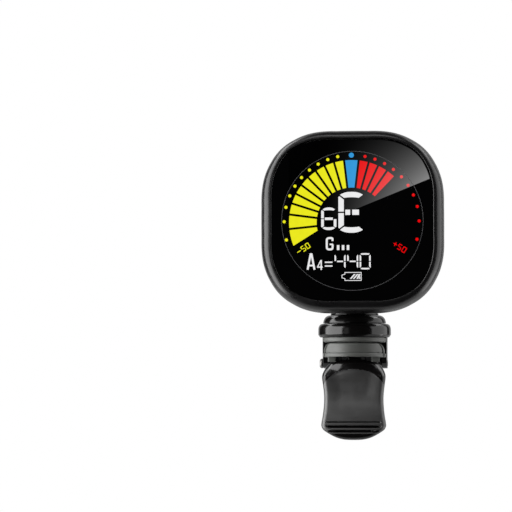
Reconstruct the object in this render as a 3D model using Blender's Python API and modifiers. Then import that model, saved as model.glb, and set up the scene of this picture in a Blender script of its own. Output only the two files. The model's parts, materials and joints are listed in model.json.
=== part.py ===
"""A clip-on instrument tuner: a square display head on a tilting and swivelling neck, over a spring clip.

The origin is the middle of the upper pad's gripping face. +Z runs up through the head, the display
faces -Y, and the clip's pivot runs along X. Lengths below are in millimetres, and MM turns them into
metres as each mesh is made.
"""

import math

import bmesh
import bpy
from mathutils import Matrix, Vector

MM = 0.001

# The head: a rounded square, drawn as a superellipse round the head's centre.
HEAD_Z = 30.5
HEAD_HALF = 23.35
SQUIRCLE_POWER = 3.0
SQUIRCLE_POINTS = 48
SQUIRCLE_SWELL = 0.013
FRONT_Y = -15.75
PARTING_Y = -10.2
BACK_Y = -3.5
BACK_WALL = 1.3
LENS_HALF = 20.5
WINDOW_RISE = 0.3
SCREW_XZ = 15.5
SCREW_SHANK_R = 0.7

# The tilt hinge, behind the head's lower edge.
TILT_Y = -0.9
TILT_Z = 13.2
KNUCKLE_R = 2.4
KNUCKLE_HALF = 3.3
EAR_R = 2.6
EAR_X = (3.9, 6.0)
TILT_PIN_R = 0.9

# The swivel, in the collar on top of the clip.
COLLAR_FLOOR_Z = 2.2
COLLAR_BOTTOM_Z = 1.3
COLLAR_BORE_R = 7.2

# The clip's pivot and its spring.
PIVOT_Y = 7.0
PIVOT_Z = -5.34
PIN_R = 0.8
PIN_BORE_R = 0.9
CHEEK_X = (6.8, 8.4)
COIL_R = 2.0
WIRE_R = 0.4
COIL_TURNS = 4

# The jaw pads, as seen from above: straight sides and a round front.
PAD_HALF = 8.0
PAD_FRONT_R = 9.0
PAD_FRONT_CENTRE_Y = 0.2
PAD_BACK_Y = 3.5
PAD_GAP = 0.15

# The battery and its door, and the three buttons above it, all on the back of the head.
CELL_Z = HEAD_Z - 0.8
CELL_R = 10.0
DOOR_R = 11.5
DOOR_TURN = math.radians(25)
BUTTON_Z = HEAD_Z + 14.6
BUTTON_X = {"power": -7.0, "mode": 0.0, "pitch": 7.0}
BUTTON_R = 2.2

# Boards and displays in the head are stacked along Y.
BOARD_Y = (-10.2, -9.2)
LCD_Y = (-12.85, -11.65)

BLACK = ((0.012, 0.012, 0.013), 0.30, 0.0)
SATIN = ((0.018, 0.018, 0.019), 0.42, 0.0)
RUBBER = ((0.075, 0.075, 0.078), 0.75, 0.0)
STEEL = ((0.55, 0.55, 0.56), 0.28, 1.0)
BRASS = ((0.62, 0.45, 0.17), 0.35, 1.0)
WINDOW = ((0.004, 0.004, 0.005), 0.05, 0.0)
GLASS = ((0.02, 0.025, 0.025), 0.10, 0.0)
WHITE = ((0.80, 0.80, 0.78), 0.45, 0.0)
BOARD = ((0.01, 0.12, 0.05), 0.40, 0.0)
CERAMIC = ((0.75, 0.72, 0.66), 0.50, 0.0)
RED = ((0.45, 0.02, 0.02), 0.50, 0.0)

for leftover in list(bpy.data.objects):
    bpy.data.objects.remove(leftover, do_unlink=True)

PARTS = bpy.data.collections.new("clip_on_tuner")
HELPERS = bpy.data.collections.new("clip_on_tuner_cutters")
for group in (PARTS, HELPERS):
    bpy.context.scene.collection.children.link(group)


# ---------------------------------------------------------------- building tools


def add_object(name, data, finish=None):
    """Adds a sub-part or, without a finish, a helper that only cuts or joins."""
    obj = bpy.data.objects.new(name, data)
    if finish is None:
        HELPERS.objects.link(obj)
        obj.hide_render = True
        obj.display_type = "WIRE"
        return obj
    PARTS.objects.link(obj)
    colour, roughness, metallic = finish
    material = bpy.data.materials.new(name)
    material.use_nodes = True
    shader = material.node_tree.nodes["Principled BSDF"]
    shader.inputs["Base Color"].default_value = (*colour, 1.0)
    shader.inputs["Roughness"].default_value = roughness
    shader.inputs["Metallic"].default_value = metallic
    material.diffuse_color = (*colour, 1.0)
    data.materials.append(material)
    return obj


def finish_mesh(name, bm, finish):
    """Scales a mesh made in millimetres to metres and gives it an object."""
    bmesh.ops.recalc_face_normals(bm, faces=bm.faces)
    bmesh.ops.scale(bm, vec=(MM, MM, MM), verts=bm.verts)
    mesh = bpy.data.meshes.new(name)
    bm.to_mesh(mesh)
    bm.free()
    return add_object(name, mesh, finish)


def block(name, low, high, finish=None):
    """A box from its lowest to its highest corner."""
    bm = bmesh.new()
    bmesh.ops.create_cube(bm, size=1.0)
    low, high = Vector(low), Vector(high)
    bmesh.ops.scale(bm, vec=high - low, verts=bm.verts)
    bmesh.ops.translate(bm, vec=(low + high) / 2, verts=bm.verts)
    return finish_mesh(name, bm, finish)


def cylinder(name, radius, start, end, finish=None, sides=24):
    """A cylinder between two points."""
    start, end = Vector(start), Vector(end)
    axis = end - start
    bm = bmesh.new()
    bmesh.ops.create_cone(
        bm, cap_ends=True, segments=sides, radius1=radius, radius2=radius, depth=axis.length
    )
    turn = axis.to_track_quat("Z", "Y").to_matrix().to_4x4()
    bmesh.ops.transform(bm, matrix=Matrix.Translation((start + end) / 2) @ turn, verts=bm.verts)
    return finish_mesh(name, bm, finish)


def along(axis, u, v, depth):
    """A point of a flat outline laid across one axis."""
    return {"X": (depth, u, v), "Y": (u, depth, v), "Z": (u, v, depth)}[axis]


def plate(name, outline, axis, low, high, finish=None):
    """A flat outline, extruded along an axis."""
    bm = bmesh.new()
    face = bm.faces.new([bm.verts.new(along(axis, u, v, low)) for u, v in outline])
    grown = bmesh.ops.extrude_face_region(bm, geom=[face])["geom"]
    moved = [item for item in grown if isinstance(item, bmesh.types.BMVert)]
    bmesh.ops.translate(bm, vec=along(axis, 0, 0, high - low), verts=moved)
    return finish_mesh(name, bm, finish)


def loft(name, rings, finish=None, ring_shaped=False):
    """A skin over unlike sections, capped at both ends or closed onto its first section."""
    bm = bmesh.new()
    rows = [[bm.verts.new(point) for point in ring] for ring in rings]
    pairs = list(zip(rows, rows[1:]))
    if ring_shaped:
        pairs.append((rows[-1], rows[0]))
    else:
        bm.faces.new(rows[0])
        bm.faces.new(rows[-1])
    for row, following in pairs:
        for i in range(len(row)):
            j = (i + 1) % len(row)
            bm.faces.new((row[i], row[j], following[j], following[i]))
    return finish_mesh(name, bm, finish)


def turned(name, profile, axis="Z", centre=(0, 0, 0), finish=None, closed=False, steps=40):
    """A (radius, height) profile turned round an axis. Its outer side runs from the top down."""
    mesh = bpy.data.meshes.new(name)
    points = [(r * MM, 0, h * MM) for r, h in profile]
    edges = [(i, i + 1) for i in range(len(points) - 1)]
    if closed:
        edges.append((len(points) - 1, 0))
    mesh.from_pydata(points, edges, [])
    obj = add_object(name, mesh, finish)
    obj.location = Vector(centre) * MM
    turns = {"X": (0, math.pi / 2, 0), "Y": (-math.pi / 2, 0, 0), "Z": (0, 0, 0)}
    obj.rotation_euler = turns[axis]
    screw = obj.modifiers.new("Turn", "SCREW")
    screw.steps = steps
    screw.render_steps = steps
    screw.use_merge_vertices = True
    screw.merge_threshold = 0.00001
    return obj


def wire(name, points, radius, finish):
    """A round wire through the points."""
    curve = bpy.data.curves.new(name, "CURVE")
    curve.dimensions = "3D"
    curve.bevel_depth = radius * MM
    curve.bevel_resolution = 2
    curve.use_fill_caps = True
    spline = curve.splines.new("POLY")
    spline.points.add(len(points) - 1)
    for spot, point in zip(spline.points, points):
        spot.co = (*(Vector(point) * MM), 1.0)
    return add_object(name, curve, finish)


def combine(obj, operation, *others):
    """Joins helpers to an object, or cuts them from it."""
    for other in others:
        modifier = obj.modifiers.new(other.name, "BOOLEAN")
        modifier.operation = operation
        modifier.solver = "EXACT"
        modifier.object = other


def joint_axis(name, x, y, z, parent=None):
    """An empty on a joint's axis, which carries the pieces that move with it."""
    empty = bpy.data.objects.new(name, None)
    empty.empty_display_size = 4 * MM
    empty["home"] = (x * MM, y * MM, z * MM)
    PARTS.objects.link(empty)
    empty.location = empty["home"]
    if parent:
        carry(parent, empty)
    return empty


def carry(axis, *pieces):
    """Parents pieces to a joint's empty and leaves them where they are."""
    for piece in pieces:
        piece.parent = axis
        piece.matrix_parent_inverse = Matrix.Translation(axis["home"]).inverted()


def arc(centre, radius, start, end, points):
    """Points along an arc, with its angles in degrees."""
    angles = [math.radians(start + (end - start) * i / (points - 1)) for i in range(points)]
    return [(centre[0] + radius * math.cos(a), centre[1] + radius * math.sin(a)) for a in angles]


# ---------------------------------------------------------------- the head's outlines


def squircle(half, y, rise=0.0):
    """The head's rounded square at a depth: a superellipse with slightly swollen shoulders."""
    ring = []
    for i in range(SQUIRCLE_POINTS):
        angle = 2 * math.pi * (i + 0.5) / SQUIRCLE_POINTS
        c, s = math.cos(angle), math.sin(angle)
        reach = half / (abs(c) ** SQUIRCLE_POWER + abs(s) ** SQUIRCLE_POWER) ** (1 / SQUIRCLE_POWER)
        reach *= 1 + SQUIRCLE_SWELL * max(math.sin(4 * angle) ** 2 - 0.35, 0)
        ring.append((reach * c, y, HEAD_Z + rise + reach * s))
    return ring


def octagon(half, diagonal):
    """A square with its corners cut where |x| + |z| reaches the diagonal sum."""
    short = diagonal - half
    corners = [(half, -short), (half, short), (short, half), (-short, half)]
    corners += [(-half, short), (-half, -short), (-short, -half), (short, -half)]
    return [(x, HEAD_Z + z) for x, z in corners]


def screw_places():
    """The names and centres of the four case screws."""
    for name, x in (("left", -SCREW_XZ), ("right", SCREW_XZ)):
        yield f"lower_{name}", x, HEAD_Z - SCREW_XZ
        yield f"upper_{name}", x, HEAD_Z + SCREW_XZ


# ---------------------------------------------------------------- the head's case


def make_front_shell():
    lip = LENS_HALF + 0.15
    outside = [(lip, -15.35, WINDOW_RISE), (lip + 0.3, FRONT_Y, WINDOW_RISE), (21.6, -15.6, WINDOW_RISE)]
    outside += [(22.4, -14.9, 0.2), (22.9, -13.7, 0.1), (23.2, -12.2, 0), (HEAD_HALF, PARTING_Y - 0.1, 0)]
    inside = [(21.8, PARTING_Y - 0.1, 0), (21.8, -13.1, 0), (19.2, -13.1, 0)]
    inside += [(19.2, -14.05, WINDOW_RISE), (lip, -14.05, WINDOW_RISE)]
    rings = [squircle(half, y, rise) for half, y, rise in outside + inside]
    shell = loft("front_shell", rings, BLACK, ring_shaped=True)
    for name, x, z in screw_places():
        boss = cylinder(f"front_boss_{name}", 1.9, (x, -13.3, z), (x, PARTING_Y - 0.2, z), sides=16)
        bore = cylinder(f"front_bore_{name}", 0.85, (x, -12.7, z), (x, PARTING_Y, z), sides=16)
        combine(shell, "UNION", boss)
        combine(shell, "DIFFERENCE", bore)
    return shell


def rear_cavity():
    """The hollow of the rear shell, which leaves the four screw bosses standing."""
    sections = [(21.7, -10.6), (21.6, -9.2), (21.0, -8.0), (20.0, -6.8), (18.7, -5.7)]
    sections.append((17.2, BACK_Y - BACK_WALL))
    cavity = loft("rear_cavity", [squircle(half, y) for half, y in sections])
    for name, x, z in screw_places():
        combine(cavity, "DIFFERENCE", cylinder(f"rear_boss_{name}", 2.5, (x, PARTING_Y, z), (x, -3, z), sides=16))
    return cavity


def make_rear_shell():
    sections = [(23.3, PARTING_Y + 0.1), (23.2, -9.2), (22.7, -8.0), (21.6, -6.6), (20.1, -5.2)]
    sections += [(19.0, -4.2), (18.2, BACK_Y)]
    shell = loft("rear_shell", [squircle(half, y) for half, y in sections], SATIN)
    combine(shell, "DIFFERENCE", rear_cavity())
    for side in (-1, 1):
        near, far = sorted((side * EAR_X[0], side * EAR_X[1]))
        name = "left" if side < 0 else "right"
        tip = arc((TILT_Y, TILT_Z), EAR_R, -90, 90, 13)
        outline = [*tip, (-4.9, TILT_Z + EAR_R), (-5.3, TILT_Z - EAR_R)]
        combine(shell, "UNION", plate(f"ear_{name}", outline, "X", near, far))
    pin_bore = cylinder("tilt_pin_bore", TILT_PIN_R + 0.1, (-9, TILT_Y, TILT_Z), (9, TILT_Y, TILT_Z))
    combine(shell, "DIFFERENCE", pin_bore)
    for name, x, z in screw_places():
        recess = cylinder(f"screw_recess_{name}", 1.75, (x, -7.3, z), (x, 0, z), sides=16)
        bore = cylinder(f"screw_bore_{name}", 0.95, (x, -12, z), (x, -6, z), sides=16)
        combine(shell, "DIFFERENCE", recess, bore)
    combine(shell, "DIFFERENCE", *door_cutters())
    for name, x in BUTTON_X.items():
        hole = cylinder(f"{name}_button_hole", BUTTON_R + 0.15, (x, -6, BUTTON_Z), (x, 0, BUTTON_Z))
        combine(shell, "DIFFERENCE", hole)
    return shell


def door_cutters():
    """The door's seat and opening, with a notch for each of its two tabs once it is unlocked."""
    seat = cylinder("door_seat", DOOR_R + 0.2, (0, -4.35, CELL_Z), (0, 0, CELL_Z), sides=48)
    opening = cylinder("door_opening", 10.9, (0, -6, CELL_Z), (0, -4, CELL_Z), sides=48)
    notch = block("door_notches", (-11.8, -6, -2), (11.8, -4, 2))
    notch.location = (0, 0, CELL_Z * MM)
    notch.rotation_euler = (0, DOOR_TURN, 0)
    return seat, opening, notch


def make_battery_door():
    profile = [(0, -3.45), (11.1, -3.45), (DOOR_R, -3.75), (DOOR_R, -4.2), (10.7, -4.2), (10.7, -5.7)]
    profile += [(10.2, -5.7), (10.2, -5.0), (0, -5.0)]
    door = turned("battery_door", profile, "Y", (0, 0, CELL_Z), SATIN, steps=48)
    for name, x in (("left", -11.5), ("right", 10.3)):
        tab = block(f"door_tab_{name}", (x, -5.65, CELL_Z - 1.6), (x + 1.2, -4.95, CELL_Z + 1.6))
        combine(door, "UNION", tab)
    slot = block("coin_slot", (-5.5, -4.05, CELL_Z - 0.7), (5.5, -3, CELL_Z + 0.7))
    combine(door, "DIFFERENCE", slot)
    return door


def make_button(name, x):
    profile = [(0, -2.95), (1.7, -2.95), (2.1, -3.2), (BUTTON_R, -3.6), (BUTTON_R, -5.1)]
    profile += [(2.75, -5.1), (2.75, -5.8), (1.0, -5.8), (1.0, -6.75), (0, -6.75)]
    return turned(f"{name}_button", profile, "Y", (x, 0, BUTTON_Z), RUBBER, steps=24)


def make_case_screw(name, x, z):
    profile = [(0, -6.05), (1.2, -6.05), (1.55, -6.3), (1.55, -7.15), (SCREW_SHANK_R, -7.15)]
    profile += [(SCREW_SHANK_R, -12.2), (0, -12.6)]
    screw = turned(f"case_screw_{name}", profile, "Y", (x, 0, z), STEEL, steps=16)
    across = block(f"recess_across_{name}", (x - 0.85, -6.6, z - 0.2), (x + 0.85, -5, z + 0.2))
    upright = block(f"recess_upright_{name}", (x - 0.2, -6.6, z - 0.85), (x + 0.2, -5, z + 0.85))
    combine(screw, "DIFFERENCE", across, upright)
    return screw


def make_tilt_pin():
    profile = [(0, 6.1), (TILT_PIN_R, 6.1), (TILT_PIN_R, -6.15), (1.5, -6.15), (1.5, -6.5)]
    profile += [(1.2, -6.75), (0, -6.75)]
    return turned("tilt_pin", profile, "X", (0, TILT_Y, TILT_Z), STEEL, steps=20)


# ---------------------------------------------------------------- inside the head


def make_display():
    sections = [(LENS_HALF, -14.3), (LENS_HALF, -15.3), (LENS_HALF - 0.2, -15.5)]
    rings = [squircle(half, y, WINDOW_RISE) for half, y in sections]
    lens = loft("display_window", rings, WINDOW)
    panel = plate("lcd_panel", octagon(18.5, 27.0), "Y", *LCD_Y, GLASS)
    frame = plate("lcd_frame", octagon(19.8, 28.0), "Y", -13.0, -10.6, WHITE)
    combine(frame, "DIFFERENCE", plate("lcd_frame_opening", octagon(18.75, 27.3), "Y", -14, -10))
    lower = [(-10, -14.2), (10, -14.2), (16.8, -7.5), (16.8, 9.5)]
    upper = [(9.5, 16.8), (-9.5, 16.8), (-16.8, 9.5), (-16.8, -7.5)]
    outline = [(x, HEAD_Z + z) for x, z in lower + upper]
    guide = plate("light_guide", outline, "Y", -11.4, -10.5, WHITE)
    lamps = [
        block(f"backlight_led_{name}", (x, -11.4, HEAD_Z - 1.5), (x + 1.2, -10.5, HEAD_Z + 1.5), WHITE)
        for name, x in (("left", -18.3), ("right", 17.1))
    ]
    strip = block("elastomer_strip", (-9, -11.5, HEAD_Z - 17.2), (9, -10.35, HEAD_Z - 15), RUBBER)
    return lens, panel, frame, guide, *lamps, strip


def make_circuit_board():
    board = loft("circuit_board", [squircle(19.6, y) for y in BOARD_Y], BOARD)
    for name, x, z in screw_places():
        notch = cylinder(f"board_notch_{name}", 2.8, (x, -11, z), (x, -8, z), sides=16)
        combine(board, "DIFFERENCE", notch)
    chip = block("processor_chip", (-17.2, -9.05, HEAD_Z - 2.2), (-12.8, -8.1, HEAD_Z + 2.2), BLACK)
    crystal = cylinder("crystal", 0.75, (14.5, -8.3, HEAD_Z + 2), (14.5, -8.3, HEAD_Z + 8), STEEL, 16)
    return board, chip, crystal


def make_switch(name, x):
    body = block(
        f"tact_switch_{name}", (x - 1.6, -9.05, BUTTON_Z - 1.6), (x + 1.6, -7.75, BUTTON_Z + 1.6), STEEL
    )
    plunger = cylinder(f"plunger_{name}", 0.75, (x, -8.2, BUTTON_Z), (x, -7.35, BUTTON_Z), sides=16)
    combine(body, "UNION", plunger)
    return body


def make_battery():
    profile = [(0, -5.15), (9.6, -5.15), (CELL_R, -5.5), (CELL_R, -7.6), (9.3, -8.35), (0, -8.35)]
    cell = turned("coin_cell", profile, "Y", (0, 0, CELL_Z), STEEL, steps=48)
    ring = [(10.4, -5.95), (11.3, -5.95), (11.3, -9.05), (10.4, -9.05)]
    holder = turned("battery_holder", ring, "Y", (0, 0, CELL_Z), BLACK, closed=True, steps=48)
    gap = block("holder_gap", (9.5, -9.5, CELL_Z - 2), (12, -5, CELL_Z + 2))
    combine(holder, "DIFFERENCE", gap)
    negative = block("negative_contact", (-1.6, -8.95, CELL_Z - 7), (1.6, -8.65, CELL_Z + 7), BRASS)
    positive = block("positive_contact", (10.15, -9.05, CELL_Z - 1.5), (10.45, -5.9, CELL_Z + 1.5), BRASS)
    foot = block("positive_contact_foot", (10.15, -9.05, CELL_Z - 1.5), (13.2, -8.75, CELL_Z + 1.5))
    combine(positive, "UNION", foot)
    return cell, holder, negative, positive


def make_pickup():
    z = HEAD_Z - 14.6
    disc = cylinder("piezo_disc", 2.9, (0, -5.15, z), (0, -4.9, z), BRASS, sides=32)
    ceramic = cylinder("piezo_ceramic", 2.0, (0, -5.45, z), (0, -5.25, z), CERAMIC, sides=24)
    signal = [(-0.9, -5.75, z), (-1.2, -6.6, z - 0.6), (-1.4, -7.8, z - 1.8), (-1.5, -9.0, z - 2.6)]
    ground = [(2.4, -5.45, z), (2.3, -6.4, z - 0.7), (2.1, -7.7, z - 1.9), (2.0, -9.0, z - 2.6)]
    leads = wire("piezo_lead_signal", signal, 0.22, RED), wire("piezo_lead_ground", ground, 0.22, BLACK)
    return disc, ceramic, *leads


# ---------------------------------------------------------------- the neck


def make_neck():
    profile = [(0, 7.8), (5.9, 7.8), (6.2, 7.5), (6.2, 7.1), (6.0, 7.0), (6.0, 4.2), (6.6, 4.2)]
    profile += [(6.6, 2.9), (0, 2.9)]
    post = turned("neck_post", profile, finish=BLACK)
    half = KNUCKLE_HALF
    stem = plate("neck_stem", [(-2.4, 7.0), (3.0, 7.0), (1.5, 13.2), (-2.6, 13.2)], "X", -half, half)
    knuckle = cylinder("knuckle", KNUCKLE_R, (-half, TILT_Y, TILT_Z), (half, TILT_Y, TILT_Z), sides=32)
    bore = cylinder("knuckle_bore", TILT_PIN_R + 0.1, (-5, TILT_Y, TILT_Z), (5, TILT_Y, TILT_Z))
    combine(post, "UNION", stem, knuckle)
    combine(post, "DIFFERENCE", bore)
    washers = []
    for name, low in (("left", -3.8), ("right", 3.4)):
        ring = [(TILT_PIN_R + 0.2, low + 0.4), (2.2, low + 0.4), (2.2, low), (TILT_PIN_R + 0.2, low)]
        washer = turned(f"tilt_washer_{name}", ring, "X", (0, TILT_Y, TILT_Z), RUBBER, closed=True, steps=24)
        washers.append(washer)
    return post, *washers


def make_wave_washer():
    """A thin spring ring with three waves, under the neck's flange."""
    rings = []
    for i in range(36):
        angle = 2 * math.pi * i / 36
        middle = COLLAR_FLOOR_Z + 0.35 + 0.1 * math.cos(3 * angle)
        corners = [(5.2, middle - 0.1), (6.4, middle - 0.1), (6.4, middle + 0.1), (5.2, middle + 0.1)]
        rings.append([(r * math.cos(angle), r * math.sin(angle), z) for r, z in corners])
    return loft("wave_washer", rings, STEEL, ring_shaped=True)


def make_retaining_ring():
    profile = [(6.25, 6.95), (6.8, 6.95), (7.35, 6.7), (7.8, 6.2), (8.05, 5.6), (8.15, 4.95)]
    profile += [(7.0, 4.95), (7.0, 4.35), (6.25, 4.35)]
    return turned("swivel_retaining_ring", profile, finish=BLACK, closed=True)


# ---------------------------------------------------------------- the clip


def rounded_section(z, half, front, back):
    """A flat section with chamfered edges, across a handle."""
    edge = min(0.7, half / 2, (back - front) / 3)
    corners = [(-half, front + edge), (-half + edge, front), (half - edge, front), (half, front + edge)]
    corners += [(half, back - edge), (half - edge, back), (-half + edge, back), (-half, back - edge)]
    return [(x, y, z) for x, y in corners]


def make_clip_frame():
    """The upper jaw: the swivel collar, two cheeks that hold the pivot, and the rear handle."""
    profile = [(0, COLLAR_FLOOR_Z), (COLLAR_BORE_R, COLLAR_FLOOR_Z), (COLLAR_BORE_R, 4.8), (8.3, 4.8)]
    profile += [(8.95, 4.55), (9.3, 4.0), (9.4, 3.5), (9.4, 1.9), (8.85, COLLAR_BOTTOM_Z)]
    profile.append((0, COLLAR_BOTTOM_Z))
    frame = turned("clip_frame", profile, finish=BLACK)
    outer = CHEEK_X[1]
    outline = [(-outer, 3.8), (outer, 3.8), (outer, 10.4), (7.0, 11.7), (-7.0, 11.7), (-outer, 10.4)]
    combine(frame, "UNION", plate("yoke", outline, "Z", 1.45, 3.5))
    combine(frame, "DIFFERENCE", cylinder("neck_bore", COLLAR_BORE_R, (0, 0, 2.2), (0, 0, 6), sides=40))
    handle = [(3.3, 8.2, 9.4, 11.6), (1.0, 8.2, 9.9, 12.2), (-3.0, 8.1, 10.3, 12.6)]
    handle += [(-6.5, 7.7, 10.4, 12.7), (-10.0, 7.1, 10.5, 12.8), (-14.5, 6.6, 10.8, 13.1)]
    handle += [(-18.0, 6.8, 11.3, 13.5), (-21.3, 7.2, 12.0, 14.1), (-23.2, 6.0, 12.3, 14.2)]
    handle += [(-24.4, 4.2, 12.5, 14.0), (-25.0, 2.4, 12.7, 13.7)]
    combine(frame, "UNION", loft("rear_handle", [rounded_section(*section) for section in handle]))
    cheek = [(11.4, 1.8), (3.9, 1.8), (3.9, -3.4), (5.0, -5.6), (6.0, -6.5), (6.5, -6.65), (11.4, -6.65)]
    for name, side in (("left", -1), ("right", 1)):
        near, far = sorted((side * CHEEK_X[0], side * CHEEK_X[1]))
        combine(frame, "UNION", plate(f"cheek_{name}", cheek, "X", near, far))
    bore = cylinder("pivot_bore_frame", PIN_BORE_R, (-10, PIVOT_Y, PIVOT_Z), (10, PIVOT_Y, PIVOT_Z))
    combine(frame, "DIFFERENCE", bore)
    return frame


def pad_outline(inset=0.0):
    """A jaw pad's outline from above, with its sides and front drawn in."""
    half = PAD_HALF - inset
    radius = PAD_FRONT_R - inset
    reach = math.degrees(math.asin(half / radius))
    front = arc((0, PAD_FRONT_CENTRE_Y), radius, 270 - reach, 270 + reach, 13)
    return [*front, (half, PAD_BACK_Y), (-half, PAD_BACK_Y)]


def make_upper_pad():
    return plate("upper_jaw_pad", pad_outline(), "Z", 0.0, 1.2, RUBBER)


def make_lower_pad():
    """The rubber boot over the moving jaw, open below and behind, with a strap at each front corner."""
    pad = plate("lower_jaw_pad", pad_outline(), "Z", -3.85, -PAD_GAP, RUBBER)
    combine(pad, "DIFFERENCE", plate("boot_pocket", boot_pocket_outline(1.5), "Z", -5, -1.9))
    strap = [(4.6, -3.65), (4.6, -4.6), (5.7, -5.05), (6.6, -5.6), (6.6, -3.65)]
    for name, side in (("left", -1), ("right", 1)):
        outline = [(side * x, z) for x, z in strap]
        combine(pad, "UNION", plate(f"boot_strap_{name}", outline, "Y", -5.95, -5.25))
    return pad


def boot_pocket_outline(inset):
    """The boot's pocket runs out through its back."""
    outline = pad_outline(inset)
    return outline[:-2] + [(x, PAD_BACK_Y + 0.6) for x, _ in outline[-2:]]


def make_thumb_lever():
    """The moving jaw: a plate inside the rubber boot, two webs out to the pivot, and the thumb paddle."""
    paddle = [(-4.5, 3.0, -5.5, -4.4), (-4.95, 4.9, -5.9, -4.0), (-5.9, 6.5, -6.5, -4.1)]
    paddle += [(-7.2, 7.65, -6.9, -4.4), (-8.9, 8.2, -7.1, -4.8), (-12.0, 7.82, -7.1, -5.0)]
    paddle += [(-14.5, 7.62, -7.1, -5.2), (-18.0, 7.82, -7.5, -5.6), (-21.3, 8.32, -8.2, -6.2)]
    paddle += [(-23.1, 6.9, -8.4, -6.4), (-24.3, 4.7, -8.2, -6.5), (-25.1, 2.2, -7.8, -6.7)]
    lever = loft("thumb_lever", [rounded_section(*section) for section in paddle], BLACK)
    jaw = plate("jaw_plate", pad_outline(1.8), "Z", -3.6, -2.05)
    combine(lever, "UNION", jaw)
    for x in (-3.95, -2.45, 2.45, 3.95):
        width = 0.7 if abs(x) > 3 else 0.55
        rib = block(f"jaw_rib_{x:+.2f}", (x - width, -5.2, -6.6), (x + width, -1.0, -3.0))
        combine(lever, "UNION", rib)
    web = [(-5.8, -7.0), (-3.9, -3.2), (2.6, -2.3), (6.6, -2.9), (8.4, -3.5), (9.3, -5.34)]
    web += [(8.3, -7.4), (5.5, -7.8), (-1.0, -9.0), (-4.6, -14.5), (-6.0, -15.5)]
    for side in (-1, 1):
        near, far = sorted((side * 4.9, side * 5.9))
        combine(lever, "UNION", plate(f"lever_web_{side:+d}", web, "X", near, far))
        start, end = (side * 3.6, PIVOT_Y, PIVOT_Z), (side * 6.5, PIVOT_Y, PIVOT_Z)
        combine(lever, "UNION", cylinder(f"lever_knuckle_{side:+d}", 2.3, start, end))
    bore = cylinder("pivot_bore_lever", PIN_BORE_R, (-9, PIVOT_Y, PIVOT_Z), (9, PIVOT_Y, PIVOT_Z))
    combine(lever, "DIFFERENCE", bore)
    return lever


def make_pivot_pin():
    profile = [(0, 8.4), (PIN_R, 8.4), (PIN_R, -8.45), (1.27, -8.45), (1.27, -9.1), (0.95, -9.45), (0, -9.45)]
    return turned("pivot_pin", profile, "X", (0, PIVOT_Y, PIVOT_Z), STEEL, steps=20)


def make_torsion_spring():
    """A coil round the pivot pin. Its legs leave it along tangents, to the paddle and the handle."""
    paddle_end, handle_end = Vector((-3.9, -12.2)), Vector((9.7, -13.0))
    centre = Vector((PIVOT_Y, PIVOT_Z))
    first = tangent_angle(paddle_end - centre, 1)
    last = tangent_angle(handle_end - centre, -1)
    sweep = (first - last) % (2 * math.pi) + 2 * math.pi * COIL_TURNS
    count = 12 * COIL_TURNS
    points = [(-2.2, *paddle_end)]
    for i in range(count + 1):
        angle = first - sweep * i / count
        spot = centre + COIL_R * Vector((math.cos(angle), math.sin(angle)))
        points.append((-2.2 + 4.4 * i / count, *spot))
    points.append((2.2, *handle_end))
    return wire("torsion_spring", points, WIRE_R, STEEL)


def tangent_angle(reach, side):
    """The angle on the coil where a straight leg to a point at this offset leaves it."""
    return math.atan2(reach.y, reach.x) - side * math.acos(COIL_R / reach.length)


# ---------------------------------------------------------------- the assembly

make_clip_frame()
make_upper_pad()
make_pivot_pin()
make_torsion_spring()
make_wave_washer()
make_retaining_ring()

lever_axis = joint_axis("lever_axis", 0, PIVOT_Y, PIVOT_Z)
carry(lever_axis, make_thumb_lever(), make_lower_pad())

swivel_axis = joint_axis("swivel_axis", 0, 0, 0)
carry(swivel_axis, *make_neck())

head_axis = joint_axis("head_axis", 0, TILT_Y, TILT_Z, parent=swivel_axis)
carry(head_axis, make_front_shell(), make_rear_shell(), make_tilt_pin())
carry(head_axis, *make_display(), *make_circuit_board(), *make_battery(), *make_pickup())
for place in screw_places():
    carry(head_axis, make_case_screw(*place))

door_axis = joint_axis("door_axis", 0, BACK_Y, CELL_Z, parent=head_axis)
carry(door_axis, make_battery_door())
for label, button_x in BUTTON_X.items():
    carry(head_axis, make_switch(label, button_x))
    button_axis = joint_axis(f"{label}_button_axis", button_x, BACK_Y, BUTTON_Z, parent=head_axis)
    carry(button_axis, make_button(label, button_x))
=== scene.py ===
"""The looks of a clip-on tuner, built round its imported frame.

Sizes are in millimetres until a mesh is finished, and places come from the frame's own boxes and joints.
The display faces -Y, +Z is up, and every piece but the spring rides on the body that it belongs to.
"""

import json
import math

import bmesh
import bpy
from mathutils import Matrix, Vector
from mathutils.kdtree import KDTree


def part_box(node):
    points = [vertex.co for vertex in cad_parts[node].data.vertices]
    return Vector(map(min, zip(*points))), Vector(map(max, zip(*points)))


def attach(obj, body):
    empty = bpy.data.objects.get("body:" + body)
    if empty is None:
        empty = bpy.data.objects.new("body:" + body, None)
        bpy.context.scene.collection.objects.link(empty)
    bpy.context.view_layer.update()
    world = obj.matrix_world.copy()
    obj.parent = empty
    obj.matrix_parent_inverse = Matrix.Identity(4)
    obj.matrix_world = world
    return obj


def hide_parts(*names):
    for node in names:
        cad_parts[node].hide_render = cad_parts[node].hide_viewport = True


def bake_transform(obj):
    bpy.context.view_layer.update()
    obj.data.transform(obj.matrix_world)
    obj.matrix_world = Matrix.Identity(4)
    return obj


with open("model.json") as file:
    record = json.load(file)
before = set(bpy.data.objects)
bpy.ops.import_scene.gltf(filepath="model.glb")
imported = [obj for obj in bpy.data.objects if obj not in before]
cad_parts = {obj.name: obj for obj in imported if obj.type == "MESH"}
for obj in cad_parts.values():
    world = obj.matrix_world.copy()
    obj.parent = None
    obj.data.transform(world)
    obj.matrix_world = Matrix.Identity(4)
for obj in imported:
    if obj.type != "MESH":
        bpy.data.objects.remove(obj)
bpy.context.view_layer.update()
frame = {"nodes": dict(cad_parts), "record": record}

MM = 0.001


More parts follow.
